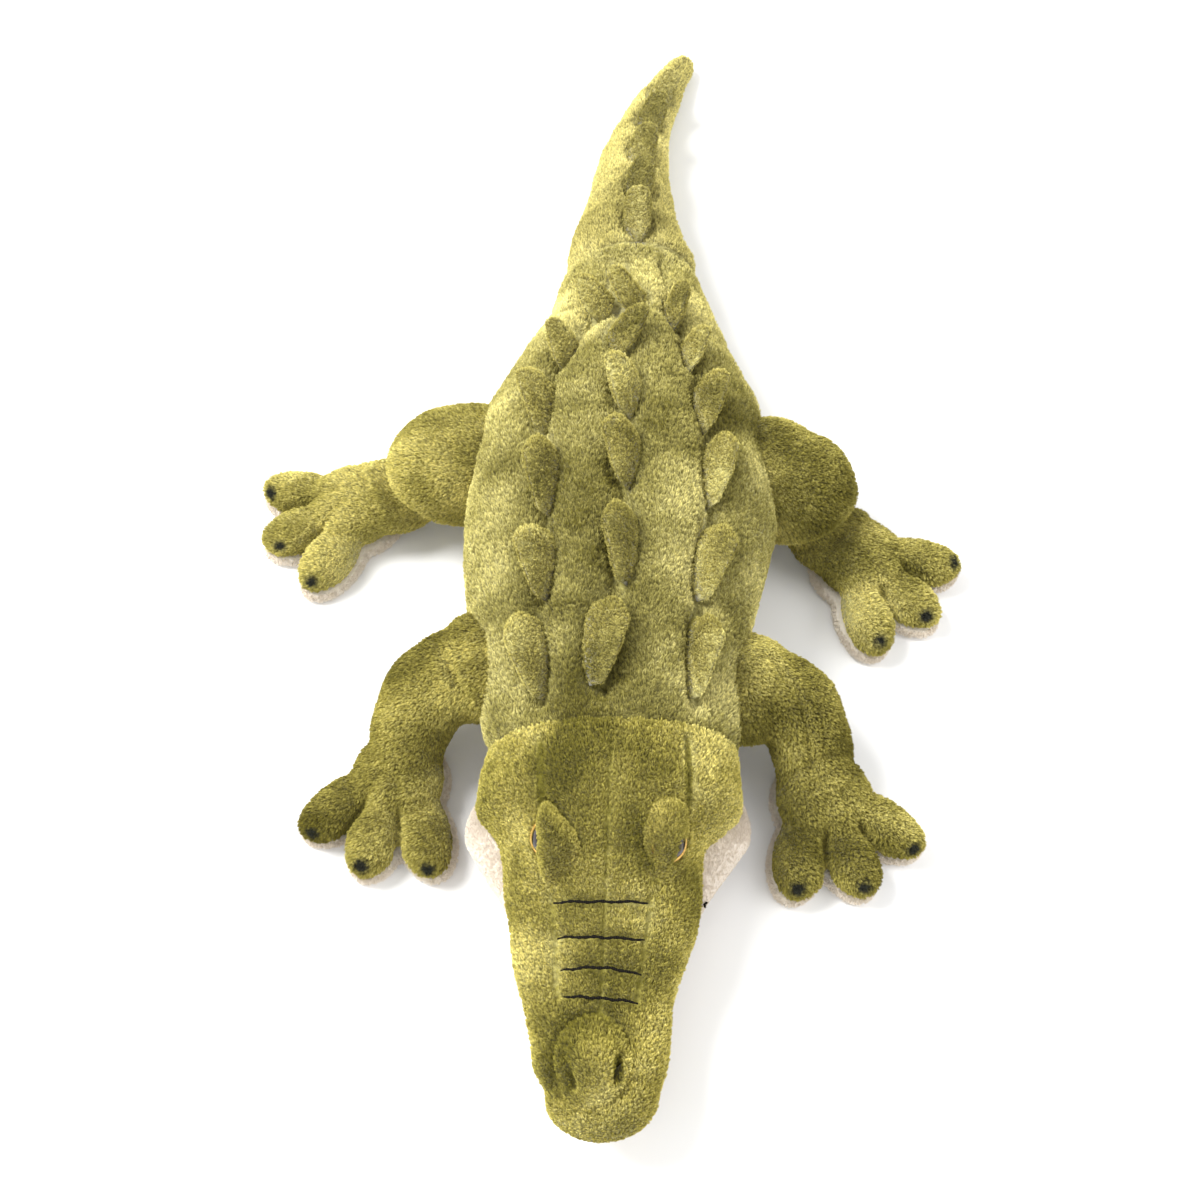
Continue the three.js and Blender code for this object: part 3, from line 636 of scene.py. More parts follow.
def lofted(name, rings):
    """A closed mesh through rings of points, with a point in the middle of both ends"""
    rings = np.asarray(rings)
    points = np.vstack([rings[0].mean(0), rings.reshape(-1, 3), rings[-1].mean(0)])
    return mesh_object(name, points, ring_faces(len(rings), rings.shape[1]))


def read_vertices(piece, what):
    values = np.empty(len(piece.data.vertices) * 3)
    piece.data.vertices.foreach_get(what, values)
    return values.reshape(-1, 3)


def get_points(piece):
    return read_vertices(piece, "co") / MM


def set_points(piece, points):
    piece.data.vertices.foreach_set("co", (points * MM).ravel())
    piece.data.update()


def level_off(piece, lowest=FLOOR_GAP, highest=math.inf):
    """Moves points to a lowest and a highest level, so that nothing goes under the floor"""
    points = get_points(piece)
    points[:, 2] = np.clip(points[:, 2], lowest, highest)
    set_points(piece, points)


def sculpt(piece, relief):
    """Moves each point along its normal by what relief says for its place"""
    points = get_points(piece)
    normals = read_vertices(piece, "normal")
    set_points(piece, points + normals * relief(points, normals)[:, None])


# How far apart two seeds lie in the noise
LUMP_STEP = 17.3


def lumps(points, size, height, seed):
    """Soft noise of about the given size and height"""
    places = points / size + seed * LUMP_STEP
    return height * np.array([noise.noise(Vector(place)) for place in places])


def lumpy(points, layers):
    """The sum of some layers of soft noise"""
    return sum(lumps(points, *layer) for layer in layers)


def facing_up(normals):
    """Shares of 1 where a face looks up, and none where it is upright or looks down"""
    return np.clip(normals[:, 2] * 2, 0, 1)


def bell(distance, width):
    return np.exp(-(distance / width) ** 2)


def line_distance(points, line):
    """Distance in the plan from points to a line of (x, y) corners"""
    flat = points[:, :2]
    best = np.full(len(flat), np.inf)
    corners = np.array([corner[:2] for corner in line], float)
    for start, end in zip(corners[:-1], corners[1:]):
        run = end - start
        share = np.clip((flat - start) @ run / (run @ run), 0, 1)
        best = np.minimum(best, np.linalg.norm(flat - start - share[:, None] * run, axis=1))
    return best


def groove(points, line, depth, width):
    """How deep a groove along a line in the plan is at points"""
    return depth * bell(line_distance(points, line), width)


# Forms

def spline(rows, shares):
    """Rows along a smooth curve through the given rows"""
    rows = np.asarray(rows, float)
    ends = np.vstack([2 * rows[0] - rows[1], rows, 2 * rows[-1] - rows[-2]])
    place = np.clip(np.atleast_1d(shares), 0, 1) * (len(rows) - 1)
    index = np.minimum(place.astype(int), len(rows) - 2)
    part = (place - index)[:, None]
    a, b, c, d = (ends[index + step] for step in range(4))
    return 0.5 * (2 * b + (c - a) * part + (2 * a - 5 * b + 4 * c - d) * part ** 2
                  + (3 * b - a - 3 * c + d) * part ** 3)


FORM_SAMPLES = 600
# Steps along a form that measure its slope and the lie of its surface
SLOPE_STEP = 0.002
SURFACE_STEP = 0.01
# How low a seam may lie, as a share of the way from the middle to the lowest point
DEEPEST_SEAM = 0.98
# What is left of a section at the very end of a cap, squared
CAP_LEFT = 1e-4


class Form:
    """A stuffed body from a table of shares, with a rounded end where it has a cap"""

    def __init__(self, shares, x, y, length, drift, half_width, height, bottom=0.0, cap=0.0,
                 lower_power=0.85, square=False):
        middles = [height * top * widest for _, _, _, top, widest in shares]
        self.rows = np.array([
            (x + drift * side, y + length * along, middle, half_width * wide,
             height * top - middle, middle - bottom)
            for (along, side, wide, top, _), middle in zip(shares, middles)])
        self.cap = cap
        self.power = lower_power
        self.square = square
        self.toward = math.copysign(1, length)
        shares = np.linspace(0, 1, FORM_SAMPLES)
        dense = spline(self.rows, shares)
        order = np.argsort(dense[:, 1])
        self.dense = dense[order]
        self.dense_shares = shares[order]

    def share_at(self, y):
        return np.interp(y, self.dense[:, 1], self.dense_shares)

    def section(self, y):
        """Centre x, middle height, half width, and heights above and below it, at places y"""
        columns = [np.interp(y, self.dense[:, 1], self.dense[:, column])
                   for column in (0, 2, 3, 4, 5)]
        if self.cap:
            past = np.maximum(self.toward * (y - self.rows[-1, 1]), 0) / self.cap
            shrink = np.sqrt(np.maximum(1 - past ** 2, CAP_LEFT))
            columns = columns[:2] + [column * shrink for column in columns[2:]]
        return columns

    def section_at(self, y):
        """What section gives, as plain numbers for one place"""
        return [float(column[0]) for column in self.section(np.array([y]))]

    def depth(self, points):
        """How far out points lie: 0 on the middle line, 1 on the surface"""
        x, middle, wide, above, below = self.section(points[:, 1])
        across = (points[:, 0] - x) / wide
        rise = points[:, 2] - middle
        over = np.abs(rise) / np.where(rise > 0, above, below)
        power = np.where(rise > 0, 1, self.power)
        return np.sqrt(np.abs(across) ** (2 / power) + over ** (2 / power))

    def rings(self, shares, turns, inset=PILE_ROOM, shrink=None, shift=None):
        """Points of rings at shares of the length; turns are one row per ring, 0 toward +X"""
        shares = np.asarray(shares, float)
        turns = np.broadcast_to(turns, (len(shares), np.shape(turns)[-1]))
        shrink = np.ones(len(shares)) if shrink is None else np.asarray(shrink)
        shift = np.zeros(len(shares)) if shift is None else np.asarray(shift)
        rows = spline(self.rows, shares)
        along = (spline(self.rows, shares + SLOPE_STEP)
                 - spline(self.rows, shares - SLOPE_STEP))[:, :3]
        if self.square:
            along = np.broadcast_to((0.0, self.toward, 0.0), along.shape)
        along = along / np.linalg.norm(along, axis=1)[:, None]
        across = np.cross(along, UP)
        across *= (np.sign(across[:, 0]) / np.linalg.norm(across, axis=1))[:, None]
        over = np.cross(across, along)
        over *= np.sign(over[:, 2])[:, None]
        sine = np.sin(turns)
        power = np.where(sine < 0, self.power, 1.0)
        out = np.sign(np.cos(turns)) * np.abs(np.cos(turns)) ** power
        rise = np.sign(sine) * np.abs(sine) ** power
        height = np.where(sine < 0, rows[:, 5:6], rows[:, 4:5])
        wide = (rows[:, 3:4] - inset) * shrink[:, None]
        tall = (height - inset) * shrink[:, None]
        centre = rows[:, :3] + along * shift[:, None]
        points = (centre[:, None] + across[:, None] * (wide * out)[..., None]
                  + over[:, None] * (tall * rise)[..., None])
        points[..., 2] = np.maximum(points[..., 2], FLOOR_GAP)
        return points

    def stations(self, start_y, end_y, count, cap_rings=0):
        """Shares, shrinks and shifts of rings from start to end, and on over the cap"""
        shares = self.share_at(np.linspace(start_y, end_y, count))
        shrink = np.ones(count)
        shift = np.zeros(count)
        if self.cap:
            turn = np.linspace(0, math.pi / 2, cap_rings + 2)[1:-1]
            shares = np.concatenate([shares, np.ones(cap_rings)])
            shrink = np.concatenate([shrink, np.cos(turn)])
            shift = np.concatenate([shift, (self.cap - PILE_ROOM) * np.sin(turn)])
        return shares, shrink, shift

    def seam_turn(self, shares, shrink, height):
        """The turn, below zero, at which each ring crosses a level height"""
        rows = spline(self.rows, shares)
        drop = (rows[:, 2] - height) / ((rows[:, 5] - PILE_ROOM) * shrink)
        return -np.arcsin(np.clip(drop, 0, DEEPEST_SEAM) ** (1 / self.power))

    def surface(self, y, out):
        """A point of the surface at a place along the body and a share of its half width"""
        share = float(self.share_at(y))
        turn = math.acos(out)
        turns = np.array([[turn, turn + SURFACE_STEP]] * 2)
        near = self.rings([share, share + SURFACE_STEP], turns, 0.0)
        normal = np.cross(near[0, 1] - near[0, 0], near[1, 0] - near[0, 0])
        normal /= np.linalg.norm(normal)
        return near[0, 0], normal * math.copysign(1, normal[2])


def tail_end():
    root = TAIL_ROOT_SHARES[-2]
    end = TORSO_SHARES[-2]
    return (TORSO_HALF_WIDTH * end[2], TORSO_HEIGHT * end[3], root[2], root[3])


TAIL_Y = NECK_Y + TORSO_LENGTH
TIP_Y = TAIL_Y + TAIL_ROOT_LENGTH
tail_half_width, tail_height, tip_width_share, tip_height_share = tail_end()
neck_height = TORSO_HEIGHT * TORSO_SHARES[1][3]
torso_form = Form(TORSO_SHARES, 0, NECK_Y, TORSO_LENGTH, TORSO_DRIFT, TORSO_HALF_WIDTH,
                  TORSO_HEIGHT, square=True)
head_form = Form(HEAD_SHARES, 0, NECK_Y, -HEAD_LENGTH, HEAD_DRIFT, HEAD_HALF_WIDTH, neck_height,
                 bottom=MOUTH_HEIGHT / 2, cap=SNOUT_CAP, lower_power=1, square=True)
jaw_form = Form(JAW_SHARES, 0, NECK_Y, -JAW_LENGTH, HEAD_DRIFT, JAW_HALF_WIDTH, JAW_HEIGHT,
                cap=JAW_CAP)
tail_root_form = Form(TAIL_ROOT_SHARES, TORSO_DRIFT, TAIL_Y, TAIL_ROOT_LENGTH, TAIL_ROOT_DRIFT,
                      tail_half_width, tail_height)
tail_tip_form = Form(TAIL_TIP_SHARES, TORSO_DRIFT + TAIL_ROOT_DRIFT, TIP_Y, TAIL_TIP_LENGTH,
                     TAIL_TIP_DRIFT, tail_half_width * tip_width_share,
                     tail_height * tip_height_share, cap=TAIL_CAP)


# Pile

STRANDS_PER_TUFT = 8
FEWEST_TUFTS = 50
# A strand grows by this many times its starting speed, of which it has shares outward, along the
# comb and by chance. Swirl and stray are in millimetres.
STRAND_SPEEDS = 4
STRAND_RISE = 0.7
STRAND_COMB = 1.3
STRAND_CHANCE = 0.4
STRAND_SWIRL = 0.35
STRAND_STRAY = 0.3
# What all piles share, by Blender's names. The pile's material is the second of its piece.
STRAND_SETTINGS = {
    "type": "HAIR",
    "use_advanced_hair": True,
    "hair_step": 3,
    "display_step": 2,
    "render_step": 2,
    "emit_from": "FACE",
    "distribution": "RAND",
    "use_even_distribution": True,
    "child_type": "INTERPOLATED",
    "rendered_child_count": STRANDS_PER_TUFT,
    "child_length": 1.0,
    "child_parting_factor": 0.0,
    "roughness_1_size": 0.3,
    "roughness_2": STRAND_STRAY * MM,
    "roughness_endpoint": STRAND_STRAY * MM,
    "clump_factor": 0.65,
    "clump_shape": 0.2,
    "root_radius": 0.18,
    "tip_radius": 0.07,
    "radius_scale": MM,
    "material": 2,
}
PILE_LENGTH = 1.5
STUFFING = 0.75
BACKWARD = (0.0, 0.75, 0.1)
HEAD_COMB = (0.0, 0.45, 0.25)
CREAM_LENGTH = 0.8
CREAM_SWIRL = 0.1
CREAM_COMB = (0.0, 1.0, 0.0)
# The pile starts at this height, is whole after this rise, and is missing under the piece
PILE_START = 2
PILE_FADE = 3
UNDERSIDE = -0.9
# Past a form's last row, its cap counts as outside from this share of the cap
CAP_FACE = 0.35
# What is sewn to a form has pile from a level of its depth, whole after this much more
DEPTH_FADE = 0.03
# Strands and seed of each piece. Brows, legs, soles and fins add a number of their own to the
# seed, and a fin has the strands of the largest times its shares of length and height.
PILES = {
    "torso_back": (330000, 11),
    "torso_belly": (50000, 12),
    "head_upper": (230000, 21),
    "head_jaw": (110000, 22),
    "brow": (14000, 30),
    "tail_root": (70000, 100),
    "tail_tip": (60000, 120),
    "leg": (150000, 50),
    "sole": (16000, 70),
    "fin": (9000, 100),
}


def pile(piece, strands, length, comb, weight, seed, swirl):
    """Plush pile: strands grown from the cloth where weight is above zero, combed one way"""
    group = piece.vertex_groups.new(name="pile")
    shares = np.clip(weight(get_points(piece), read_vertices(piece, "normal")), 0, 1)
    for level in np.unique(np.round(shares, 1)):
        members = np.flatnonzero(np.round(shares, 1) == level)
        group.add(members.tolist(), float(level), "REPLACE")
    modifier = piece.modifiers.new("pile", "PARTICLE_SYSTEM")
    system = modifier.particle_system
    system.seed = seed
    system.vertex_group_density = "pile"
    settings = system.settings
    settings.name = piece.name + "_pile"
    for name, value in STRAND_SETTINGS.items():
        setattr(settings, name, value)
    tufts = strands / STRANDS_PER_TUFT / 1
    settings.count = max(int(tufts), FEWEST_TUFTS)
    speed = length * MM / STRAND_SPEEDS
    settings.normal_factor = speed * STRAND_RISE
    settings.object_align_factor = [value * speed * STRAND_COMB for value in comb]
    settings.factor_random = STRAND_CHANCE * speed
    settings.roughness_1 = swirl * MM


def finish_piece(piece, body, nodes, slot, tones, strands, seed, weight, comb=BACKWARD,
                 length=PILE_LENGTH, spots=(), fill=STUFFING):
    """Material, pile, body and replaced nodes of one stuffed plush piece, whose slot is not used;
    a piece with no body here is not attached to one"""
    light_ovals = PAINTED_LIGHT_AND_NAP.get(piece.name, ())
    piece.data.materials.append(plush_cloth(piece.name + "_cloth", tones, spots, light_ovals))
    piece.data.materials.append(plush_pile(piece.name + "_pile", tones, spots, light_ovals))
    swirl = CREAM_SWIRL if tones in SMOOTH_TONES else STRAND_SWIRL
    pile(piece, strands, length, comb, weight, seed, swirl)
    if body:
        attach(piece, body)
    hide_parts(*nodes)


def clear_of_floor(points, normals):
    return np.clip((points[:, 2] - PILE_START) / PILE_FADE, 0, 1) * (normals[:, 2] > UNDERSIDE)


def clear_of_form(form, level):
    """The weight of pile on a piece that is sewn to a form: none below a level of its depth"""
    return lambda points, normals: np.clip((form.depth(points) - level) / DEPTH_FADE, 0, 1)


def outer_face(form, points, level):
    """Points on the outside of a form, its rounded end included"""
    past = form.toward * (points[:, 1] - form.rows[-1, 1])
    return (form.depth(points) > level) | (past > form.cap * CAP_FACE) & (form.cap > 0)


# Fins: how each stands on what carries it, and the crease round its foot

BACK_ROWS = ("fin_middle", "fin_right", "fin_left")
# What carries each row of fins: form, body, start and length
CARRIERS = {prefix: (torso_form, "torso", NECK_Y, TORSO_LENGTH) for prefix in BACK_ROWS}
CARRIERS["fin_tail_root"] = (tail_root_form, "tail_root", TAIL_Y, TAIL_ROOT_LENGTH)
CARRIERS["fin_tail_tip"] = (tail_tip_form, "tail_tip", TIP_Y, TAIL_TIP_LENGTH)
FIN_SLOPE_STEP = 0.01
# A lower fin is fuller for its height, and those on the tail are plumper still
FIN_FULLNESS = 0.4
FIN_PLUMP = {"fin_tail_root": 1.3, "fin_tail_tip": 1.35}
# Edges over the height: how far back the apex stands, then the powers of the rear and front edge
FIN_REAR = (0.5, 3.0)
FIN_FRONT = (1.15, 1.3)
FIN_BLUNT = 4
FIN_THINNING = 0.15
FIN_TEARDROP = 0.35
FIN_LEAF = 1.35
FIN_INSET = 1.0
FIN_COMB = (0.0, 0.3, 0.2)
FOOT_CREASE = (2.6, 1.6)
FOOT_REACH = 14
# The pile grows fuller over this distance from a fin's foot, less a share, and is never less
# than the least
FOOT_THIN = {"away": 2.1, "less": 0.15, "least": 0.03}


def fin_frame(form, y, row, plump):
    """Place, directions and half sizes of a fin on its form"""
    _, out, length_share, height_share, lean = row
    point, normal = form.surface(y, out)
    turn = -math.radians(lean) * (-1 if out < 0 else 1)
    rise = np.array([normal[0] * math.cos(turn) - normal[2] * math.sin(turn), normal[1],
                     normal[0] * math.sin(turn) + normal[2] * math.cos(turn)])
    share = float(form.share_at(y))
    ahead = (spline(form.rows, share + FIN_SLOPE_STEP)
             - spline(form.rows, share - FIN_SLOPE_STEP))[0, :3]
    along = ahead - rise * (ahead @ rise)
    along /= np.linalg.norm(along)
    across = np.cross(along, rise)
    height = FIN_HEIGHT * height_share
    half_length = FIN_LENGTH / 2 * length_share
    half_thick = FIN_THICKNESS / 2 * (height_share + FIN_FULLNESS * (1 - height_share)) * plump
    return point, rise, along, across, height, half_length, half_thick


def fin_feet(prefix):
    form, _, start, length = CARRIERS[prefix]
    plump = FIN_PLUMP.get(prefix, 1.0)
    return [fin_frame(form, start + length * row[0], row, plump) for row in FIN_SHARES[prefix]]


def foot_distance(points, foot):
    """About how far points lie from the outline of a fin's foot, far away where not near it"""
    point, rise, along, across, _, half_length, half_thick = foot
    offset = points - point
    ovals = np.hypot((offset @ along) / half_length, (offset @ across) / half_thick)
    away = np.abs(ovals - 1) * half_thick
    return np.where(np.abs(offset @ rise) < FOOT_REACH, away, FOOT_REACH)


def nearest_foot(points, feet):
    return np.min([foot_distance(points, foot) for foot in feet], axis=0)


def foot_relief(points, normals, feet, deeper=1.0):
    depth, width = FOOT_CREASE
    return -depth * deeper * bell(nearest_foot(points, feet), width) * facing_up(normals)


def foot_thinning(points, feet):
    """The pile is thin in the crease round a fin's foot"""
    share = nearest_foot(points, feet) / FOOT_THIN["away"] - FOOT_THIN["less"]
    return np.clip(share, FOOT_THIN["least"], 1)


FEET = {prefix: fin_feet(prefix) for prefix in CARRIERS}
TORSO_FEET = [foot for prefix in BACK_ROWS for foot in FEET[prefix]]


# Torso

TORSO_RINGS = 140
BACK_POINTS = 130
BELLY_POINTS = 90
INNER_POINTS = 8
TORSO_LEVEL = 0.8
# Lumps: size, height and seed
TORSO_LUMPS = [(34, 2.2, 1), (13, 0.9, 2)]


def arc_rings(form, stations, start_turns, end_turns, count):
    """Rings whose outer arc runs between two turns, closed by a straight run inside"""
    shares, shrink, shift = stations
    steps = np.linspace(0, 1, count)
    turns = start_turns[:, None] + (end_turns - start_turns)[:, None] * steps
    arcs = form.rings(shares, turns, PILE_ROOM, shrink, shift)
    back = np.linspace(0, 1, INNER_POINTS + 2)[1:-1]
    closing = arcs[:, -1:] + (arcs[:, :1] - arcs[:, -1:]) * back[:, None]
    return np.concatenate([arcs, closing], axis=1)


SEAM_PINCH = 1.5
SEAM_WIDTH = 3.0
SEAM_FADE = 8.0
NECK_PINCH = 0.8
TIP_PINCH = 0.3
BELLY_SEAM_WIDTH = 2.5
# The grooves along each seam of the back: depth and width
BACK_GROOVES = ((2.4, 2.0), (3.4, 7.5))
PUCKER = {"stretch": (0.3, 1.0, 0.3), "lumps": (3.2, 1.1, 3), "reach": 7.0}
SEAM_LINE = {"start": 2, "points": 40}
# Folds at the back's rear end: line, depth and width
TORSO_FOLDS = [
    ([(-25, 82), (-10, 94), (6, 99), (20, 95), (32, 84)], 1.5, 2.4),
    ([(-23, 104), (-8, 109), (4, 110), (17, 109), (29, 104)], 1.3, 2.2),
]


def fin_line(prefix):
    """The seam through the feet of a row of fins, as a line in the plan"""
    form, _, start, length = CARRIERS[prefix]
    places = np.linspace(start + SEAM_LINE["start"], start + length, SEAM_LINE["points"])
    x, _, wide, _, _ = form.section(places)
    rows = np.array(FIN_SHARES[prefix])
    shares = np.interp(places, start + length * rows[:, 0], rows[:, 1])
    return list(zip(x + wide * shares, places))


def puckers(points, distance):
    """Small creases that run across a seam and die out away from it"""
    stretched = points * np.array(PUCKER["stretch"])
    return lumps(stretched, *PUCKER["lumps"]) * bell(distance, PUCKER["reach"])


def away_from(points, *seams):
    """Shares that fall to zero at seams across the body, so that both sides of one meet"""
    nearest = np.min([np.abs(points[:, 1] - seam) for seam in seams], axis=0)
    return np.clip(nearest / SEAM_FADE, 0, 1)


def torso_relief(points, normals):
    move = lumpy(points, TORSO_LUMPS)
    upward = facing_up(normals)
    for prefix in BACK_ROWS:
        distance = line_distance(points, fin_line(prefix))
        for depth, width in BACK_GROOVES:
            move -= upward * depth * bell(distance, width)
        move += upward * puckers(points, distance)
    for fold in TORSO_FOLDS:
        move -= groove(points, *fold)
    move += foot_relief(points, normals, TORSO_FEET)
    move *= away_from(points, NECK_Y, TAIL_Y)
    for seam in (NECK_Y, TAIL_Y):
        move -= NECK_PINCH * bell(points[:, 1] - seam, SEAM_WIDTH)
    return move - SEAM_PINCH * bell(points[:, 2] - BELLY_SEAM, SEAM_WIDTH)


def belly_relief(points, normals):
    return -SEAM_PINCH * bell(points[:, 2] - BELLY_SEAM, BELLY_SEAM_WIDTH)


def add_torso():
    stations = torso_form.stations(NECK_Y + SEAM_GAP, TAIL_Y - SEAM_GAP, TORSO_RINGS)
    seam = torso_form.seam_turn(*stations[:2], BELLY_SEAM + SEAM_GAP / 2)
    back = lofted("torso_back", arc_rings(
        torso_form, stations, seam, math.pi - seam, BACK_POINTS))
    seam = torso_form.seam_turn(*stations[:2], BELLY_SEAM - SEAM_GAP / 2)
    belly = lofted("torso_belly", arc_rings(
        torso_form, stations, math.pi - seam, TAU + seam, BELLY_POINTS))
    sculpt(back, torso_relief)
    sculpt(belly, belly_relief)
    level_off(belly)
    finish_piece(back, "torso", ["torso_back_cloth", "torso_filling"], "green_plush",
                 GREEN_TONES["back"], *PILES["torso_back"], outside_torso_caps)
    finish_piece(belly, "torso", ["torso_belly_cloth"], "cream_plush", CREAM_TONES,
                 *PILES["torso_belly"], outside_torso_caps, comb=CREAM_COMB, length=CREAM_LENGTH)


def outside_torso_caps(points, normals):
    """The torso's outer face, without its ends, its level inner face and the floor"""
    outer = torso_form.depth(points) > TORSO_LEVEL
    return clear_of_floor(points, normals) * outer * foot_thinning(points, TORSO_FEET)


# Head

HEAD_RINGS = 110
HEAD_CAP_RINGS = 14
HEAD_POINTS = 150
HEAD_LEVEL = 0.8
HEAD_LUMPS = [(26, 1.6, 3), (10, 0.7, 4)]
SNOUT_Y = NECK_Y - HEAD_LENGTH
JAW_Y = NECK_Y - JAW_LENGTH
NOSE = np.array([-10.7, -199.6])
NOSE_HALF = np.array([14.3, 16.3])
# The raised nose: height, and width as a share of its size; the groove round it: depth, width
NOSE_DOME = (3.6, 0.8)
NOSE_RING = (2.5, 1.9)
# Nostrils: line, depth and width, and the wider dent round each as a depth and times the width
NOSTRILS = [
    ([(-20.5, -198.0), (-19.1, -200.5), (-17.7, -203.8), (-16.7, -208.1)], 4.5, 1.4),
    ([(-0.9, -197.8), (-1.7, -200.3), (-2.0, -203.5), (-2.8, -206.0)], 7.5, 1.7),
]
NOSTRIL_DENT = (0.9, 3)
# Seams along the head: line, depth and width
HEAD_SEAMS = [
    ([(-29.5, -92), (-29.2, -100), (-28.4, -114)], 2.6, 1.4),
    ([(22.7, -92), (23.5, -100), (23.8, -113)], 2.6, 1.4),
    ([(-24.8, -144), (-23.6, -159), (-22.7, -178)], 1.6, 1.4),
    ([(9.5, -145), (7.2, -162), (5.0, -178)], 1.6, 1.4),
    ([(-3.8, -92), (-5.2, -115), (-6.6, -147), (-8.0, -181)], 1.5, 1.3),
    ([(-27.0, -114.5), (-23.2, -117.1), (-19.5, -121.3), (-15.8, -129.0)], 2.4, 1.4),
]
SEAM_VALLEY = (0.6, 6.0)
SEAM_BARE = 0.5
SEAM_THIN = 1.6
NOSTRIL_BARE = 0.8
# Embroidered bars over the snout: left end, middle and right end
BARS = [
    [(-24.4, -146.6), (-8.0, -147.3), (8.8, -146.9)],
    [(-22.9, -158.0), (-8.0, -158.6), (7.6, -158.9)],
    [(-21.7, -168.6), (-8.0, -168.2), (6.4, -170.0)],
    [(-20.6, -177.2), (-8.0, -178.2), (5.2, -179.2)],
]
BAR_CLEAR = 1.1
BAR_GROOVE = (0.9, 1.6)
# The fold over the lip: line, depth and width, and how far down faces may look and still have it
LIP_FOLD = ([(-27, -190), (-24, -203), (-14, -212), (2, -211)], 1.1, 1.8)
LIP_DOWN = 0.6
MOUTH_GROOVE = (1.2, 2.0)
MOUTH_CLEAR = 0.4
# Faces whose normal rises or falls less than this are upright
UPRIGHT = 0.9
# The lids outside the eyes: radius, width and height of the ridge
LIDS = {1: (9.5, 2.2, 2.4), -1: (7.2, 2.6, 1.4)}
LID_OUTWARD = (0.8, -0.6)
# The dent round an eye: depth and width
SOCKET = (1.6, 5.5)


def lid_relief(points, side):
    """A raised rim of plush round the outer half of an eye, and the dent the eye sits in"""
    place, _ = eye_frame(side)
    radius, width, height = LIDS[side]
    offset = points - place
    distance = np.linalg.norm(offset, axis=1)
    toward = np.array([side * LID_OUTWARD[0], LID_OUTWARD[1], 0])
    outer = np.clip(0.5 + (offset @ toward) / radius, 0, 1)
    ridge = height * outer * bell(distance - radius, width)
    return ridge - SOCKET[0] * bell(distance, SOCKET[1])


def nose_relief(points):
    """The raised nose and the groove round it"""
    size = NOSE_HALF.mean()
    distance = np.linalg.norm((points[:, :2] - NOSE) / NOSE_HALF, axis=1) * size
    dome = NOSE_DOME[0] * bell(distance, size * NOSE_DOME[1])
    return dome - NOSE_RING[0] * bell(distance - size, NOSE_RING[1])


def head_relief(points, normals):
    upward = facing_up(normals)
    move = lumpy(points, HEAD_LUMPS)
    for line, depth, width in HEAD_SEAMS:
        distance = line_distance(points, line)
        valley = SEAM_VALLEY[0] * bell(distance, SEAM_VALLEY[1])
        move -= upward * (depth * bell(distance, width) + valley)
    for line in BARS:
        move -= upward * groove(points, line, *BAR_GROOVE)
    move += upward * nose_relief(points)
    for line, depth, width in NOSTRILS:
        distance = line_distance(points, line)
        dent = NOSTRIL_DENT[0] * bell(distance, width * NOSTRIL_DENT[1])
        move -= upward * (depth * bell(distance, width) + dent)
    for side in (1, -1):
        move += lid_relief(points, side)
    move -= groove(points, *LIP_FOLD) * np.clip(normals[:, 2] + LIP_DOWN, 0, 1)
    move *= away_from(points, NECK_Y)
    move -= NECK_PINCH * bell(points[:, 1] - NECK_Y, SEAM_WIDTH)
    depth, width = MOUTH_GROOVE
    return move - depth * bell(points[:, 2] - MOUTH_HEIGHT, width) * (
        np.abs(normals[:, 2]) < UPRIGHT)


def outside_head_caps(points, normals):
    outer = outer_face(head_form, points, HEAD_LEVEL)
    weight = clear_of_floor(points, normals) * outer
    for line in BARS:
        weight *= line_distance(points, line) > BAR_CLEAR
    for line, depth, _ in HEAD_SEAMS:
        bare = line_distance(points, line) - depth * SEAM_BARE
        weight *= np.clip(bare / SEAM_THIN, 0, 1)
    for line, _, width in NOSTRILS:
        weight *= line_distance(points, line) > width * NOSTRIL_BARE
    return weight * (points[:, 2] > MOUTH_HEIGHT + MOUTH_CLEAR)


def add_head():
    stations = head_form.stations(NECK_Y - SEAM_GAP, SNOUT_Y, HEAD_RINGS, HEAD_CAP_RINGS)
    seam = head_form.seam_turn(*stations[:2], MOUTH_HEIGHT + SEAM_GAP / 2)
    upper = lofted("head_upper", arc_rings(
        head_form, stations, seam, math.pi - seam, HEAD_POINTS))
    sculpt(upper, head_relief)
    finish_piece(upper, None, ["head_upper_cloth", "head_filling"], "green_plush",
                 GREEN_TONES["head"], *PILES["head_upper"], outside_head_caps, comb=HEAD_COMB)
    bend_at_neck(upper)


JAW_RINGS = 100
JAW_CAP_RINGS = 12
JAW_SIDE_POINTS = 55
JAW_TOP_POINTS = 14
JAW_TURNS = 400
JAW_LUMPS = (24, 1.2, 5)
JAW_LEVEL = 0.9
JAW_CLEAR = -1.0
# The jaw's level upper face, hidden under the head, is where normals rise more than this
JAW_LID = 0.95


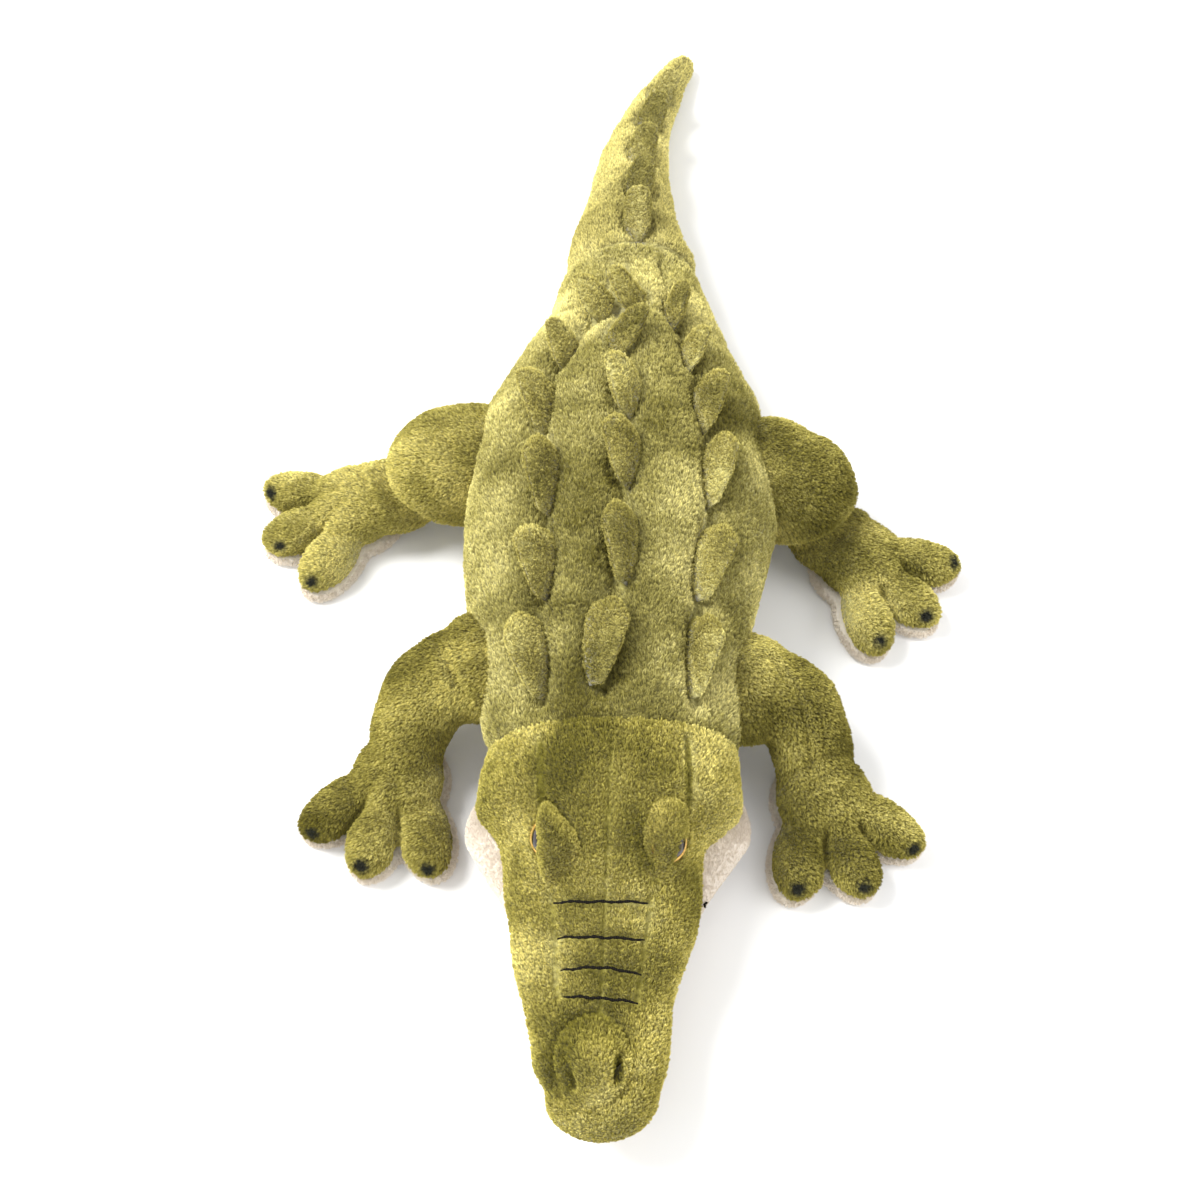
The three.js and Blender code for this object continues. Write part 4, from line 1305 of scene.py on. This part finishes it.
def jaw_ring(y):
    """The jaw's outline at one place along the head, up to where it meets the upper head"""
    turns = np.linspace(-math.pi / 2, math.pi / 2, JAW_TURNS)
    x, middle, wide, above, below = jaw_form.section_at(y)
    power = np.where(turns < 0, jaw_form.power, 1)
    out = np.abs(np.cos(turns)) ** power * (wide - PILE_ROOM)
    rise = np.sign(turns) * np.abs(np.sin(turns)) ** power
    height = middle + rise * (np.where(turns < 0, below, above) - PILE_ROOM)
    height = np.maximum(height, FLOOR_GAP)
    sides = []
    for side in (1, -1):
        ring = np.stack([x + side * out, np.full(len(out), y), height], axis=1)
        free = head_form.depth(ring) > 1 - PILE_ROOM / HEAD_HALF_WIDTH
        free |= ring[:, 2] < MOUTH_HEIGHT - SEAM_GAP
        stop = len(ring) if free.all() else int(np.argmin(free))
        sides.append(resample(ring[:stop], JAW_SIDE_POINTS))
    head_x, head_middle, head_wide, _, head_below = head_form.section_at(y)
    lid = MOUTH_HEIGHT - SEAM_GAP / 2
    share = min(max((head_middle - lid) / head_below, -1), 1)
    reach = (head_wide - PILE_ROOM) * math.sqrt(1 - share ** 2)
    ends = [min(sides[0][-1, 0], head_x + reach), max(sides[1][-1, 0], head_x - reach)]
    top = min(lid, sides[0][-1, 2], sides[1][-1, 2])
    across = np.linspace(ends[0], ends[1], JAW_TOP_POINTS)
    level = np.ones(JAW_TOP_POINTS)
    closing = np.stack([across, y * level, top * level], axis=1)
    return np.concatenate([sides[0], closing, sides[1][::-1]])


def resample(line, count):
    """Points at even steps along a line"""
    lengths = np.concatenate([[0], np.cumsum(np.linalg.norm(np.diff(line, axis=0), axis=1))])
    steps = np.linspace(0, lengths[-1], count)
    return np.stack([np.interp(steps, lengths, line[:, axis]) for axis in range(3)], axis=1)


def jaw_relief(points, normals):
    move = lumps(points, *JAW_LUMPS) * away_from(points, NECK_Y)
    move -= NECK_PINCH * bell(points[:, 1] - NECK_Y, SEAM_WIDTH)
    return move * (normals[:, 2] < JAW_LID)


def outside_jaw_caps(points, normals):
    outer = outer_face(jaw_form, points, JAW_LEVEL) & (points[:, 2] < MOUTH_HEIGHT + JAW_CLEAR)
    outer |= jaw_form.depth(points) > JAW_LEVEL
    outer &= normals[:, 2] < JAW_LID
    return clear_of_floor(points, normals) * outer


def add_jaw():
    turn = np.linspace(0, math.pi / 2, JAW_CAP_RINGS + 2)[1:-1]
    places = np.concatenate([np.linspace(NECK_Y - SEAM_GAP, JAW_Y, JAW_RINGS),
                             JAW_Y - (JAW_CAP - PILE_ROOM) * np.sin(turn)])
    jaw = lofted("head_jaw", [jaw_ring(place) for place in places])
    sculpt(jaw, jaw_relief)
    level_off(jaw)
    finish_piece(jaw, None, ["head_jaw_cloth"], "cream_plush", CREAM_TONES, *PILES["head_jaw"],
                 outside_jaw_caps, comb=CREAM_COMB, length=CREAM_LENGTH)
    bend_at_neck(jaw)


def bend_at_neck(piece):
    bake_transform(piece)


# Eyes, brows and embroidery

EYE_SIDES = 48
# The dark eye's back and the gold rim as rows of radius and height, and the dark eye's dome
EYE_BACK = [(0.3, -1.5), (5.6, -1.5)]
EYE_DOME = {"radius": 5.88, "foot": 0.8, "height": 5, "turn": 0.97, "rings": 12}
EYE_RIM = [(5.6, -1.2), (7, -1.2), (7.25, 0), (7, 0.9), (6.51, 1.3), (6.02, 1.2), (5.88, 0.4)]
# Where the middle of each eye lies behind the cloth, and where it faces
EYE_PLACES = {
    1: ((16.1, -127.1, 57.4), (0.463, -0.413, 0.784)),
    -1: ((-26.2, -125.8, 58.1), (-0.496, -0.368, 0.786)),
}
# Brows: rows of the place along the head, the inner and outer edge and the rise
BROWS = {
    1: [
        (-113.0, 16.0, 18.0, 0.4),
        (-116.0, 11.5, 21.5, 2.8),
        (-119.5, 8.8, 22.4, 4.8),
        (-123.0, 7.8, 22.0, 6.0),
        (-126.5, 7.8, 20.6, 6.9),
        (-130.0, 8.6, 18.8, 6.8),
        (-133.5, 10.0, 16.8, 5.2),
        (-137.0, 12.0, 14.6, 1.2),
    ],
    -1: [
        (-115.5, -27.4, -26.0, 0.5),
        (-118.5, -28.2, -23.2, 4.4),
        (-123.0, -28.6, -19.6, 7.6),
        (-127.5, -28.6, -16.6, 8.8),
        (-132.0, -28.4, -15.4, 8.2),
        (-136.5, -27.6, -18.0, 5.6),
        (-140.0, -26.2, -23.6, 1.0),
    ],
}
BROW_RINGS = 44
BROW_SIDES = 56
BROW_SINK = 3.0
BROW_SKEW = 0.6
BROW_OVERHANG = 0.18
BROW_LUMPS = (7, 0.9, 6)
BROW_LEVEL = 0.95
BROW_PILE = 0.85


def eye_frame(side):
    place, facing = (np.array(row) for row in EYE_PLACES[side])
    return place, facing / np.linalg.norm(facing)


def turned_ring(place, facing, profile):
    """Rings of a turned piece from rows of radius and height, set at a place and facing out"""
    across = np.cross(facing, UP)
    across /= np.linalg.norm(across)
    over = np.cross(across, facing)
    turns = full_turn(EYE_SIDES)
    circle = np.cos(turns)[:, None] * across + np.sin(turns)[:, None] * over
    return [place + radius * circle + height * facing for radius, height in profile]


def add_eye(name, side):
    place, facing = eye_frame(side)
    foot = EYE_DOME["foot"]
    rise = EYE_DOME["height"] - foot
    dome = [(EYE_DOME["radius"] * math.cos(turn), foot + rise * math.sin(turn))
            for turn in np.linspace(0, math.pi / 2 * EYE_DOME["turn"], EYE_DOME["rings"])]
    pupil = lofted("eye_" + name, turned_ring(place, facing, EYE_BACK + dome))
    ring = closed_tube("eye_rim_" + name, turned_ring(place, facing, EYE_RIM))
    pupil.data.materials.append(eye_plastic("eye_plastic_" + name))
    ring.data.materials.append(eye_gold("eye_gold_" + name))
    for piece in (pupil, ring):
        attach(piece, "head")
    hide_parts("eye_" + name)


def closed_tube(name, rings):
    """A mesh round a closed run of rings, such as a rim"""
    rings = np.asarray(rings)
    count, sides = rings.shape[:2]
    faces = []
    for ring in range(count):
        beyond = (ring + 1) % count
        for side in range(sides):
            after = (side + 1) % sides
            faces.append((ring * sides + side, beyond * sides + side, beyond * sides + after,
                          ring * sides + after))
    return mesh_object(name, rings.reshape(-1, 3), faces)


def add_brow(name, side):
    """A leaf-shaped flap that rises toward its outer edge and leans over the eye"""
    turns = full_turn(BROW_SIDES)
    lean = side * np.cos(turns)
    rise = np.where(np.sin(turns) > 0, np.sin(turns) * (1 + BROW_SKEW * lean), 0)
    sink = np.minimum(np.sin(turns), 0) * BROW_SINK
    rings = []
    for y, low, high, height in spline(BROWS[side], np.linspace(0, 1, BROW_RINGS)):
        x = (low + high) / 2 + (high - low) / 2 * np.cos(turns)
        base = surface_height(head_form, x, np.full(len(x), y)) - PILE_ROOM
        x = x + side * BROW_OVERHANG * rise * height
        rings.append(np.stack([x, np.full(len(x), y), base + rise * height + sink], axis=1))
    brow = lofted("brow_" + name, rings)
    sculpt(brow, lambda points, normals: lumps(points, *BROW_LUMPS))
    strands, seed = PILES["brow"]
    finish_piece(brow, "head", ["brow_" + name], "green_plush", GREEN_TONES["brow"], strands,
                 seed + side, clear_of_form(head_form, BROW_LEVEL), comb=FIN_COMB,
                 length=PILE_LENGTH * BROW_PILE)


def surface_height(form, x, y):
    centre, middle, wide, above, _ = form.section(np.asarray(y, float))
    return middle + above * np.sqrt(np.maximum(1 - ((x - centre) / wide) ** 2, 0))


BAR_POINTS = 40
BAR_SIDES = 10
BAR_RADIUS = 0.68
BAR_LIFT = 1.7
# How far a bar's ends sink into the pile, and how suddenly
BAR_SINK = (0.9, 6)
# How much thinner a bar's ends are, and how suddenly
BAR_TAPER = (0.5, 4)
# How a bar's thickness wavers, as a share and a rate
BAR_UNEVEN = (0.2, 1.9)
# How far a bar strays, and its rates sideways and up
BAR_SWAY = (0.2, 0.55, 0.9)
CHEEK_STITCH = ((30.9, -138.0, 24.7), (30.2, -140.0, 23.9))
CHEEK_POINTS = 14
CHEEK_SEED = 5


def add_stitch(name, run, seed):
    """One thick embroidered stitch along a run of points, thinner at its ends"""
    turns = full_turn(BAR_SIDES)
    along = run[-1] - run[0]
    across = np.cross(along, UP)
    across /= np.linalg.norm(across)
    stray, sideways, upward = BAR_SWAY
    share, rate = BAR_UNEVEN
    rings = []
    for step, place in enumerate(run):
        end = abs(step - (len(run) - 1) / 2) / (len(run) / 2)
        uneven = 1 - share + share * math.sin(step * rate + seed)
        radius = BAR_RADIUS * uneven * (1 - BAR_TAPER[0] * end ** BAR_TAPER[1])
        sway = stray * math.sin(step * sideways + seed * 2)
        sink = BAR_SINK[0] * end ** BAR_SINK[1] + stray * math.sin(step * upward + seed)
        middle = place + across * sway - UP * sink
        rings.append(middle + radius * (np.cos(turns)[:, None] * across
                                        + np.sin(turns)[:, None] * UP))
    stitch = lofted(name, rings)
    stitch.data.materials.append(thread("black_thread_" + name, BLACK_THREAD))
    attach(stitch, "head")


def add_bars():
    """Four stitches pulled into the pile over the snout, and a short one on the cheek"""
    for index, line in enumerate(BARS):
        run = spline(np.array(line), np.linspace(0, 1, BAR_POINTS))
        height = surface_height(head_form, run[:, 0], run[:, 1]) - PILE_ROOM + BAR_LIFT
        add_stitch(f"stitch_bar_{index + 1}", np.column_stack([run, height]), index)
    add_stitch("stitch_cheek", np.linspace(*np.array(CHEEK_STITCH), CHEEK_POINTS), CHEEK_SEED)


# Tail

TAIL_SIDES = 110
TAIL_CAP_RINGS = 8
TAIL_GROOVES = ((1.0, 1.8), (1.8, 6.0))
TAIL_LUMPS = [(24, 1.3, 7), (9, 0.6, 8)]
# Creases across the tail: how its places are stretched, then lumps
TAIL_CREASES = ((0.25, 1, 0.25), (6, 0.7, 9))
TAIL_LEVEL = 0.55
TAIL_DEEPER = 1.3
# Where each part's middle is read, this far past its seam
TAIL_MIDDLE = 1.0
# Rings, tones and the body that carries each part
TAIL_PARTS = {
    "tail_root": (60, GREEN_TONES["tail"], "torso"),
    "tail_tip": (80, GREEN_TONES["tip"], "tail_root"),
}


def tail_relief(points, normals, prefix):
    stretch, layer = TAIL_CREASES
    move = lumpy(points, TAIL_LUMPS) + lumps(points * stretch, *layer)
    distance = line_distance(points, fin_line(prefix))
    upward = facing_up(normals)
    for depth, width in TAIL_GROOVES:
        move -= upward * depth * bell(distance, width)
    move += foot_relief(points, normals, FEET[prefix], TAIL_DEEPER)
    move *= away_from(points, TAIL_Y, TIP_Y)
    for seam, pinch in ((TAIL_Y, NECK_PINCH), (TIP_Y, TIP_PINCH)):
        move -= pinch * bell(points[:, 1] - seam, SEAM_WIDTH)
    return move


def outside_tail(prefix):
    """The weight of pile on a part of the tail, without its ends at the seams"""
    form = CARRIERS[prefix][0]
    return lambda points, normals: (
        clear_of_floor(points, normals) * outer_face(form, points, TAIL_LEVEL)
        * foot_thinning(points, FEET[prefix]))


def add_tail():
    for name, (count, tones, held) in TAIL_PARTS.items():
        prefix = "fin_" + name
        form, _, start, length = CARRIERS[prefix]
        end = start + length - (0 if form.cap else SEAM_GAP)
        shares, shrink, shift = form.stations(start + SEAM_GAP, end, count, TAIL_CAP_RINGS)
        rings = form.rings(shares, full_turn(TAIL_SIDES), PILE_ROOM, shrink, shift)
        tail = lofted(name, rings)
        sculpt(tail, lambda points, normals: tail_relief(points, normals, prefix))
        level_off(tail)
        finish_piece(tail, None, [name + "_cloth", name + "_filling"], "tail_plush", tones,
                     *PILES[name], outside_tail(prefix))
        x = form.section_at(start + TAIL_MIDDLE)[0]
        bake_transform(tail)


# Legs: balls that overlap, made one skin by a voxel remesh

CHAIN_STEPS = 12
FRONT_TAPER = 0.93
# By side: how much shorter than the CAD solid the thigh is, how far back its root lies and how
# far forward its outer end is turned
THIGH_SLIM = {1: (4.5, 2.0, 5.0), -1: (5.0, 4.0, 1.0)}
# The outer ball of the thigh is this much shorter still, and turned by these degrees
THIGH_SHORTER = 1
THIGH_TURN = 30
BALL_SEGMENTS = (40, 24)


def outward(leg, degrees):
    turn = math.radians(degrees)
    return np.array([leg["side"] * math.sin(turn), -math.cos(turn), 0])


def leg_root(leg, height):
    return np.array([leg["side"] * TORSO_HALF_WIDTH * leg["out"],
                     NECK_Y + TORSO_LENGTH * leg["along"], height])


def ankle_place(leg):
    place = leg_root(leg, 0) + outward(leg, leg["turns"][0]) * LEG_REACH * leg["reach"]
    place[2] = ANKLE["height"]
    return place


def chain(places):
    """Balls along a smooth line through places of x, y, z, half width and half height"""
    rows = spline(np.array(places), np.linspace(0, 1, CHAIN_STEPS * (len(places) - 1)))
    return [(row[:3], (row[3], row[3], row[4]), 0) for row in rows]


def front_balls(leg):
    root = leg_root(leg, FRONT_ROOT["height"])
    radius = FRONT_ROOT["radius"]
    reach = LEG_REACH * leg["reach"]
    heading = leg["turns"][0]
    elbow = (root + outward(leg, heading) * reach * ELBOW["along"]
             + outward(leg, heading + 90) * ELBOW["bow"])
    elbow[2] = ELBOW["height"]
    return [(root, (radius, FRONT_ROOT["half_length"], radius), 0)] + chain([
        (*root, radius * FRONT_TAPER, radius * FRONT_TAPER),
        (*elbow, ELBOW["radius"], ELBOW["radius"]),
        (*ankle_place(leg), WRIST_RADIUS, WRIST_RADIUS),
    ])


def hind_balls(leg):
    root = leg_root(leg, HIND_ROOT["height"])
    radius = HIND_ROOT["radius"]
    thigh = root + np.array([leg["side"] * THIGH["out"], 0, 0])
    knee = root + outward(leg, leg["turns"][0]) * LEG_REACH * leg["reach"] / 2
    knee[2] = SHIN["height"]
    slim, back, turn = THIGH_SLIM[leg["side"]]
    root_half = np.array([radius, HIND_ROOT["half_length"] - slim, radius])
    thigh_half = np.array([THIGH["half_width"], THIGH["half_length"] - slim - THIGH_SHORTER,
                           THIGH["half_height"]])
    return [
        (root + np.array([0, back, 0]), root_half, 0),
        (thigh + np.array([0, back - turn, 0]), thigh_half,
         -leg["side"] * math.radians(THIGH_TURN)),
    ] + chain([
        (*knee, SHIN["half_width"], SHIN["half_height"]),
        (*ankle_place(leg), SHIN["half_width"], ANKLE["half_height"]),
    ])


def foot_balls(leg, rim=0.0, low=None):
    """The foot's pad and three toes; a sole is the same with a rim and lower balls, given as
    the height of their middle and half their own"""
    heading = leg["turns"][1]
    parts = [(PAD, 0, PAD["forward"])]
    for spread in (-TOE["spread"], 0, TOE["spread"]):
        parts.append((TOE, spread, TOE["reach"] - TOE["half_length"]))
    balls = []
    for part, spread, forward in parts:
        centre = ankle_place(leg) + outward(leg, heading + spread) * forward
        centre[2], tall = low or (part["height"] / 2, part["height"] / 2)
        balls.append((centre, (part["half_width"] + rim, part["half_length"] + rim, tall),
                      leg["side"] * math.radians(heading + spread)))
    return balls


def plan_turn(heading):
    """The matrix that turns a plan by a heading"""
    return np.array([[math.cos(heading), -math.sin(heading)],
                     [math.sin(heading), math.cos(heading)]])


def skin_of_balls(name, balls, voxel, inset):
    """One skin round overlapping balls of centre, half sizes and heading"""
    work = bmesh.new()
    for centre, halves, heading in balls:
        made = bmesh.ops.create_uvsphere(work, u_segments=BALL_SEGMENTS[0],
                                         v_segments=BALL_SEGMENTS[1], radius=1)
        turn = plan_turn(heading)
        for vertex in made["verts"]:
            place = np.array(vertex.co) * (np.array(halves) - inset)
            place[:2] = turn @ place[:2]
            vertex.co = (place + centre) * MM
    data = bpy.data.meshes.new(name)
    work.to_mesh(data)
    work.free()
    piece = linked(name, data)
    modifier = piece.modifiers.new("skin", "REMESH")
    modifier.mode = "VOXEL"
    modifier.voxel_size = voxel * MM
    bpy.context.view_layer.update()
    graph = bpy.context.evaluated_depsgraph_get()
    skin = bpy.data.meshes.new_from_object(piece.evaluated_get(graph))
    piece.modifiers.clear()
    piece.data = skin
    bpy.data.meshes.remove(data)
    skin.name = name
    skin.shade_smooth()
    return piece


def relax(piece, rounds, share=0.5):
    """Evens the skin out by moving each point toward its neighbours"""
    edges = np.empty(len(piece.data.edges) * 2, int)
    piece.data.edges.foreach_get("vertices", edges)
    first, second = edges.reshape(-1, 2).T
    points = get_points(piece)
    count = np.bincount(edges, minlength=len(points))[:, None]
    for _ in range(rounds):
        total = np.zeros_like(points)
        np.add.at(total, first, points[second])
        np.add.at(total, second, points[first])
        points += share * (total / count - points)
    set_points(piece, points)


def push_out(piece, form, level):
    """Moves points deeper than a level of a form out to that level, across the body"""
    points = get_points(piece)
    depth = form.depth(points)
    deep = depth < level
    x, middle, *_ = form.section(points[:, 1])
    grow = np.where(deep, level / np.maximum(depth, LEAST_DEPTH), 1)
    points[:, 0] = x + (points[:, 0] - x) * grow
    points[:, 2] = middle + (points[:, 2] - middle) * grow
    set_points(piece, points)


LEG_VOXEL = 1.3
LEG_INSET = 0.8
# Rounds of evening out, before and after the sculpting
LEG_RELAX = (5, 1)
LEG_LUMPS = [(18, 1.2, 9), (7, 0.5, 10)]
# A leg's skin goes no deeper into the torso than this level; less than the least counts as it
LEG_ROOT_LEVEL = 0.93
LEAST_DEPTH = 0.05
LEG_COMB = 0.7
# How far out of the torso a leg's pile starts, and over the sole's edge its start and its fade
LEG_CLEAR = 0.02
LEG_PILE_START = 0.6
LEG_PILE_FADE = 1.5
LEG_TONES = {"front": GREEN_TONES["front_leg"], "hind": GREEN_TONES["hind_leg"]}
CLAW_HEIGHT = 14
CLAWS = {
    "front_right": [(-118, -109), (-98, -121), (-73, -123)],
    "front_left": [(66, -130), (91, -129), (111, -115)],
    "hind_right": [(-148, 44), (-142, 17), (-127.5, 0.5)],
    "hind_left": [(105, -26), (125, -15), (138, 10)],
}
# Seams and folds over the front legs: line, depth and width
LEG_FOLDS = {
    "front_left": [([(53.7, -53.4), (66.2, -68.4), (72.2, -93.5)], 1.8, 1.4)],
    "front_right": [([(-69.6, -43.1), (-61.2, -60.0), (-53.2, -72.5)], 1.2, 2.2)],
}
FOLD_RIDGE = {"share": 0.6, "away": 3.0, "width": 1.8}
TOE_CREASE = (2.6, 2.2)
TOE_LINES = {"headings": (-18.5, 18.5), "reach": (9, 31), "depth": 1.7, "width": 1.7}
ANKLE_SEAM = {"behind": 3, "half": 15, "depth": 1.5, "width": 1.6}
THIGH_CREASE = (3.4, 3.0)


def ball_distance(points, balls):
    """About how far points lie from the nearest of some balls"""
    best = np.full(len(points), np.inf)
    for centre, halves, heading in balls:
        offset = points - centre
        offset[:, :2] = offset[:, :2] @ plan_turn(heading)
        halves = np.array(halves)
        best = np.minimum(best, (np.linalg.norm(offset / halves, axis=1) - 1) * halves.min())
    return best


def crease(points, groups, depth, width):
    """A groove where two of some groups of balls meet"""
    near = np.sort([ball_distance(points, group) for group in groups], axis=0)
    return -depth * bell(near[1], width)


def foot_lines(leg):
    """Lines between the toes and the seam across the ankle: line, depth and width"""
    ankle = ankle_place(leg)
    heading = leg["turns"][1]
    lines = []
    for turn in TOE_LINES["headings"]:
        run = [ankle + outward(leg, heading + turn) * reach for reach in TOE_LINES["reach"]]
        lines.append((run, TOE_LINES["depth"], TOE_LINES["width"]))
    behind = ankle - outward(leg, heading) * ANKLE_SEAM["behind"]
    across = outward(leg, heading + 90) * ANKLE_SEAM["half"]
    lines.append(([behind - across, behind + across], ANKLE_SEAM["depth"], ANKLE_SEAM["width"]))
    return lines


def leg_relief(points, normals, name, upper, lower, foot):
    """Soft lumps, the creases between thigh, shin, foot and toes, and the sewn folds"""
    move = lumpy(points, LEG_LUMPS)
    upward = facing_up(normals)
    move += crease(points, [[toe] for toe in foot[1:]], *TOE_CREASE)
    for line in foot_lines(LEGS[name]):
        move -= upward * groove(points, *line)
    if name.startswith("hind"):
        move += crease(points, [upper, lower + foot], *THIGH_CREASE)
    for line, depth, width in LEG_FOLDS.get(name, ()):
        distance = line_distance(points, line)
        ridge = FOLD_RIDGE["share"] * bell(distance - FOLD_RIDGE["away"], FOLD_RIDGE["width"])
        move -= upward * depth * (bell(distance, width) - ridge)
    return move


def outside_leg_caps(points, normals):
    outer = torso_form.depth(points) > LEG_ROOT_LEVEL + LEG_CLEAR
    above = points[:, 2] - SOLE_HEIGHT - LEG_PILE_START
    return np.clip(above / LEG_PILE_FADE, 0, 1) * outer


def add_leg(name, leg):
    front = name.startswith("front")
    balls = front_balls(leg) if front else hind_balls(leg)
    upper, lower = (balls[:1], balls[1:]) if front else (balls[:2], balls[2:])
    foot = foot_balls(leg)
    skin = skin_of_balls("leg_" + name, balls + foot, LEG_VOXEL, LEG_INSET)
    relax(skin, LEG_RELAX[0])
    sculpt(skin, lambda points, normals: leg_relief(points, normals, name, upper, lower, foot))
    relax(skin, LEG_RELAX[1])
    push_out(skin, torso_form, LEG_ROOT_LEVEL)
    points = get_points(skin)
    in_foot = np.linalg.norm(points[:, :2] - ankle_place(leg)[:2], axis=1) < TOE["reach"]
    level_off(skin, np.where(in_foot, SOLE_HEIGHT + SEAM_GAP, FLOOR_GAP))
    nodes = [f"{part}_{name}_{kind}" for part in ("leg", "foot") for kind in ("cloth", "filling")]
    strands, seed = PILES["leg"]
    finish_piece(skin, None, nodes, "green_plush" if front else "thigh_plush",
                 LEG_TONES["front" if front else "hind"], strands, seed + len(name),
                 outside_leg_caps, comb=tuple(LEG_COMB * outward(leg, leg["turns"][0])),
                 spots=[at(x, y, CLAW_HEIGHT) for x, y in CLAWS[name]])
    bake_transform(skin)
    add_sole(name, leg)


SOLE_VOXEL = 1.2
# The sole's balls reach this many times its height above their middle, and are cut off level
SOLE_FULLNESS = 1.6
SOLE_RELAX = (8, 0.4)
SOLE_PILE_START = 1.5
SOLE_PILE_LENGTH = 1.2


def outside_sole(points, normals):
    return (points[:, 2] > SOLE_PILE_START) * (np.abs(normals[:, 2]) < UPRIGHT)


def add_sole(name, leg):
    balls = foot_balls(leg, SOLE_RIM, (SOLE_HEIGHT / 2, SOLE_HEIGHT * SOLE_FULLNESS))
    sole = skin_of_balls("sole_" + name, balls, SOLE_VOXEL, 0)
    level_off(sole, highest=SOLE_HEIGHT - SEAM_GAP)
    relax(sole, *SOLE_RELAX)
    strands, seed = PILES["sole"]
    finish_piece(sole, "leg_" + name, [f"foot_{name}_sole"], "cream_plush", SOLE_PAINTED_LIGHT_TONES, strands,
                 seed + len(name), outside_sole, comb=(0, 0, 0), length=SOLE_PILE_LENGTH, fill=0)


# Fins: plump flaps with a rounded apex

FIN_SIDES = 40
FIN_LEVELS = 18
FIN_LUMPS = (9, 0.6)
FIN_LEVEL = 0.86
FIN_PILE = 0.8


def fin_rings(foot):
    point, rise, along, across, height, half_length, half_thick = foot
    turns = full_turn(FIN_SIDES)
    lens = np.sign(np.sin(turns)) * np.abs(np.sin(turns)) ** FIN_LEAF
    lens = lens * (1 + FIN_TEARDROP * np.cos(turns))
    levels = np.sin(np.linspace(0, math.pi / 2, FIN_LEVELS)[:-1])
    rings = []
    for level in (-FIN_ROOT / height, *levels):
        up = max(level, 0)
        rounding = math.sqrt(1 - up ** FIN_BLUNT)
        rear = 1 - FIN_REAR[0] * up ** FIN_REAR[1]
        front = -1 + FIN_FRONT[0] * up ** FIN_FRONT[1]
        middle = (rear + front) / 2 * half_length
        wide = ((rear - front) / 2 * half_length - FIN_INSET) * rounding
        thick = (half_thick * (1 - FIN_THINNING * up) - FIN_INSET) * rounding
        rings.append(point + rise * (height - FIN_INSET) * level + along * middle
                     + np.cos(turns)[:, None] * along * wide + lens[:, None] * across * thick)
    return rings


def add_fins(prefix):
    form, body, *_ = CARRIERS[prefix]
    strands, seed = PILES["fin"]
    tones = GREEN_TONES["tail_fin" if prefix in FIN_PLUMP else "fin"]
    for index, (row, foot) in enumerate(zip(FIN_SHARES[prefix], FEET[prefix])):
        name = f"{prefix}_{index + 1}"
        fin = lofted(name, fin_rings(foot))
        sculpt(fin, lambda points, normals: lumps(points, *FIN_LUMPS, index))
        finish_piece(fin, body, [name], "fin_plush", tones, int(strands * row[2] * row[3]),
                     seed + index, clear_of_form(form, FIN_LEVEL), comb=FIN_COMB,
                     length=PILE_LENGTH * FIN_PILE)


add_torso()
add_head()
add_jaw()
for eye_name, eye_side in (("left", 1), ("right", -1)):
    add_eye(eye_name, eye_side)
    add_brow(eye_name, eye_side)
add_bars()
add_tail()
for leg_name, leg_row in LEGS.items():
    add_leg(leg_name, leg_row)
for fin_prefix in CARRIERS:
    add_fins(fin_prefix)
washer_plastic = white_plastic("washer_plastic")
for washer in ("eye_washer_left", "eye_washer_right"):
    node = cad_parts[washer]
    node.data.materials.clear()
    node.data.materials.append(washer_plastic)
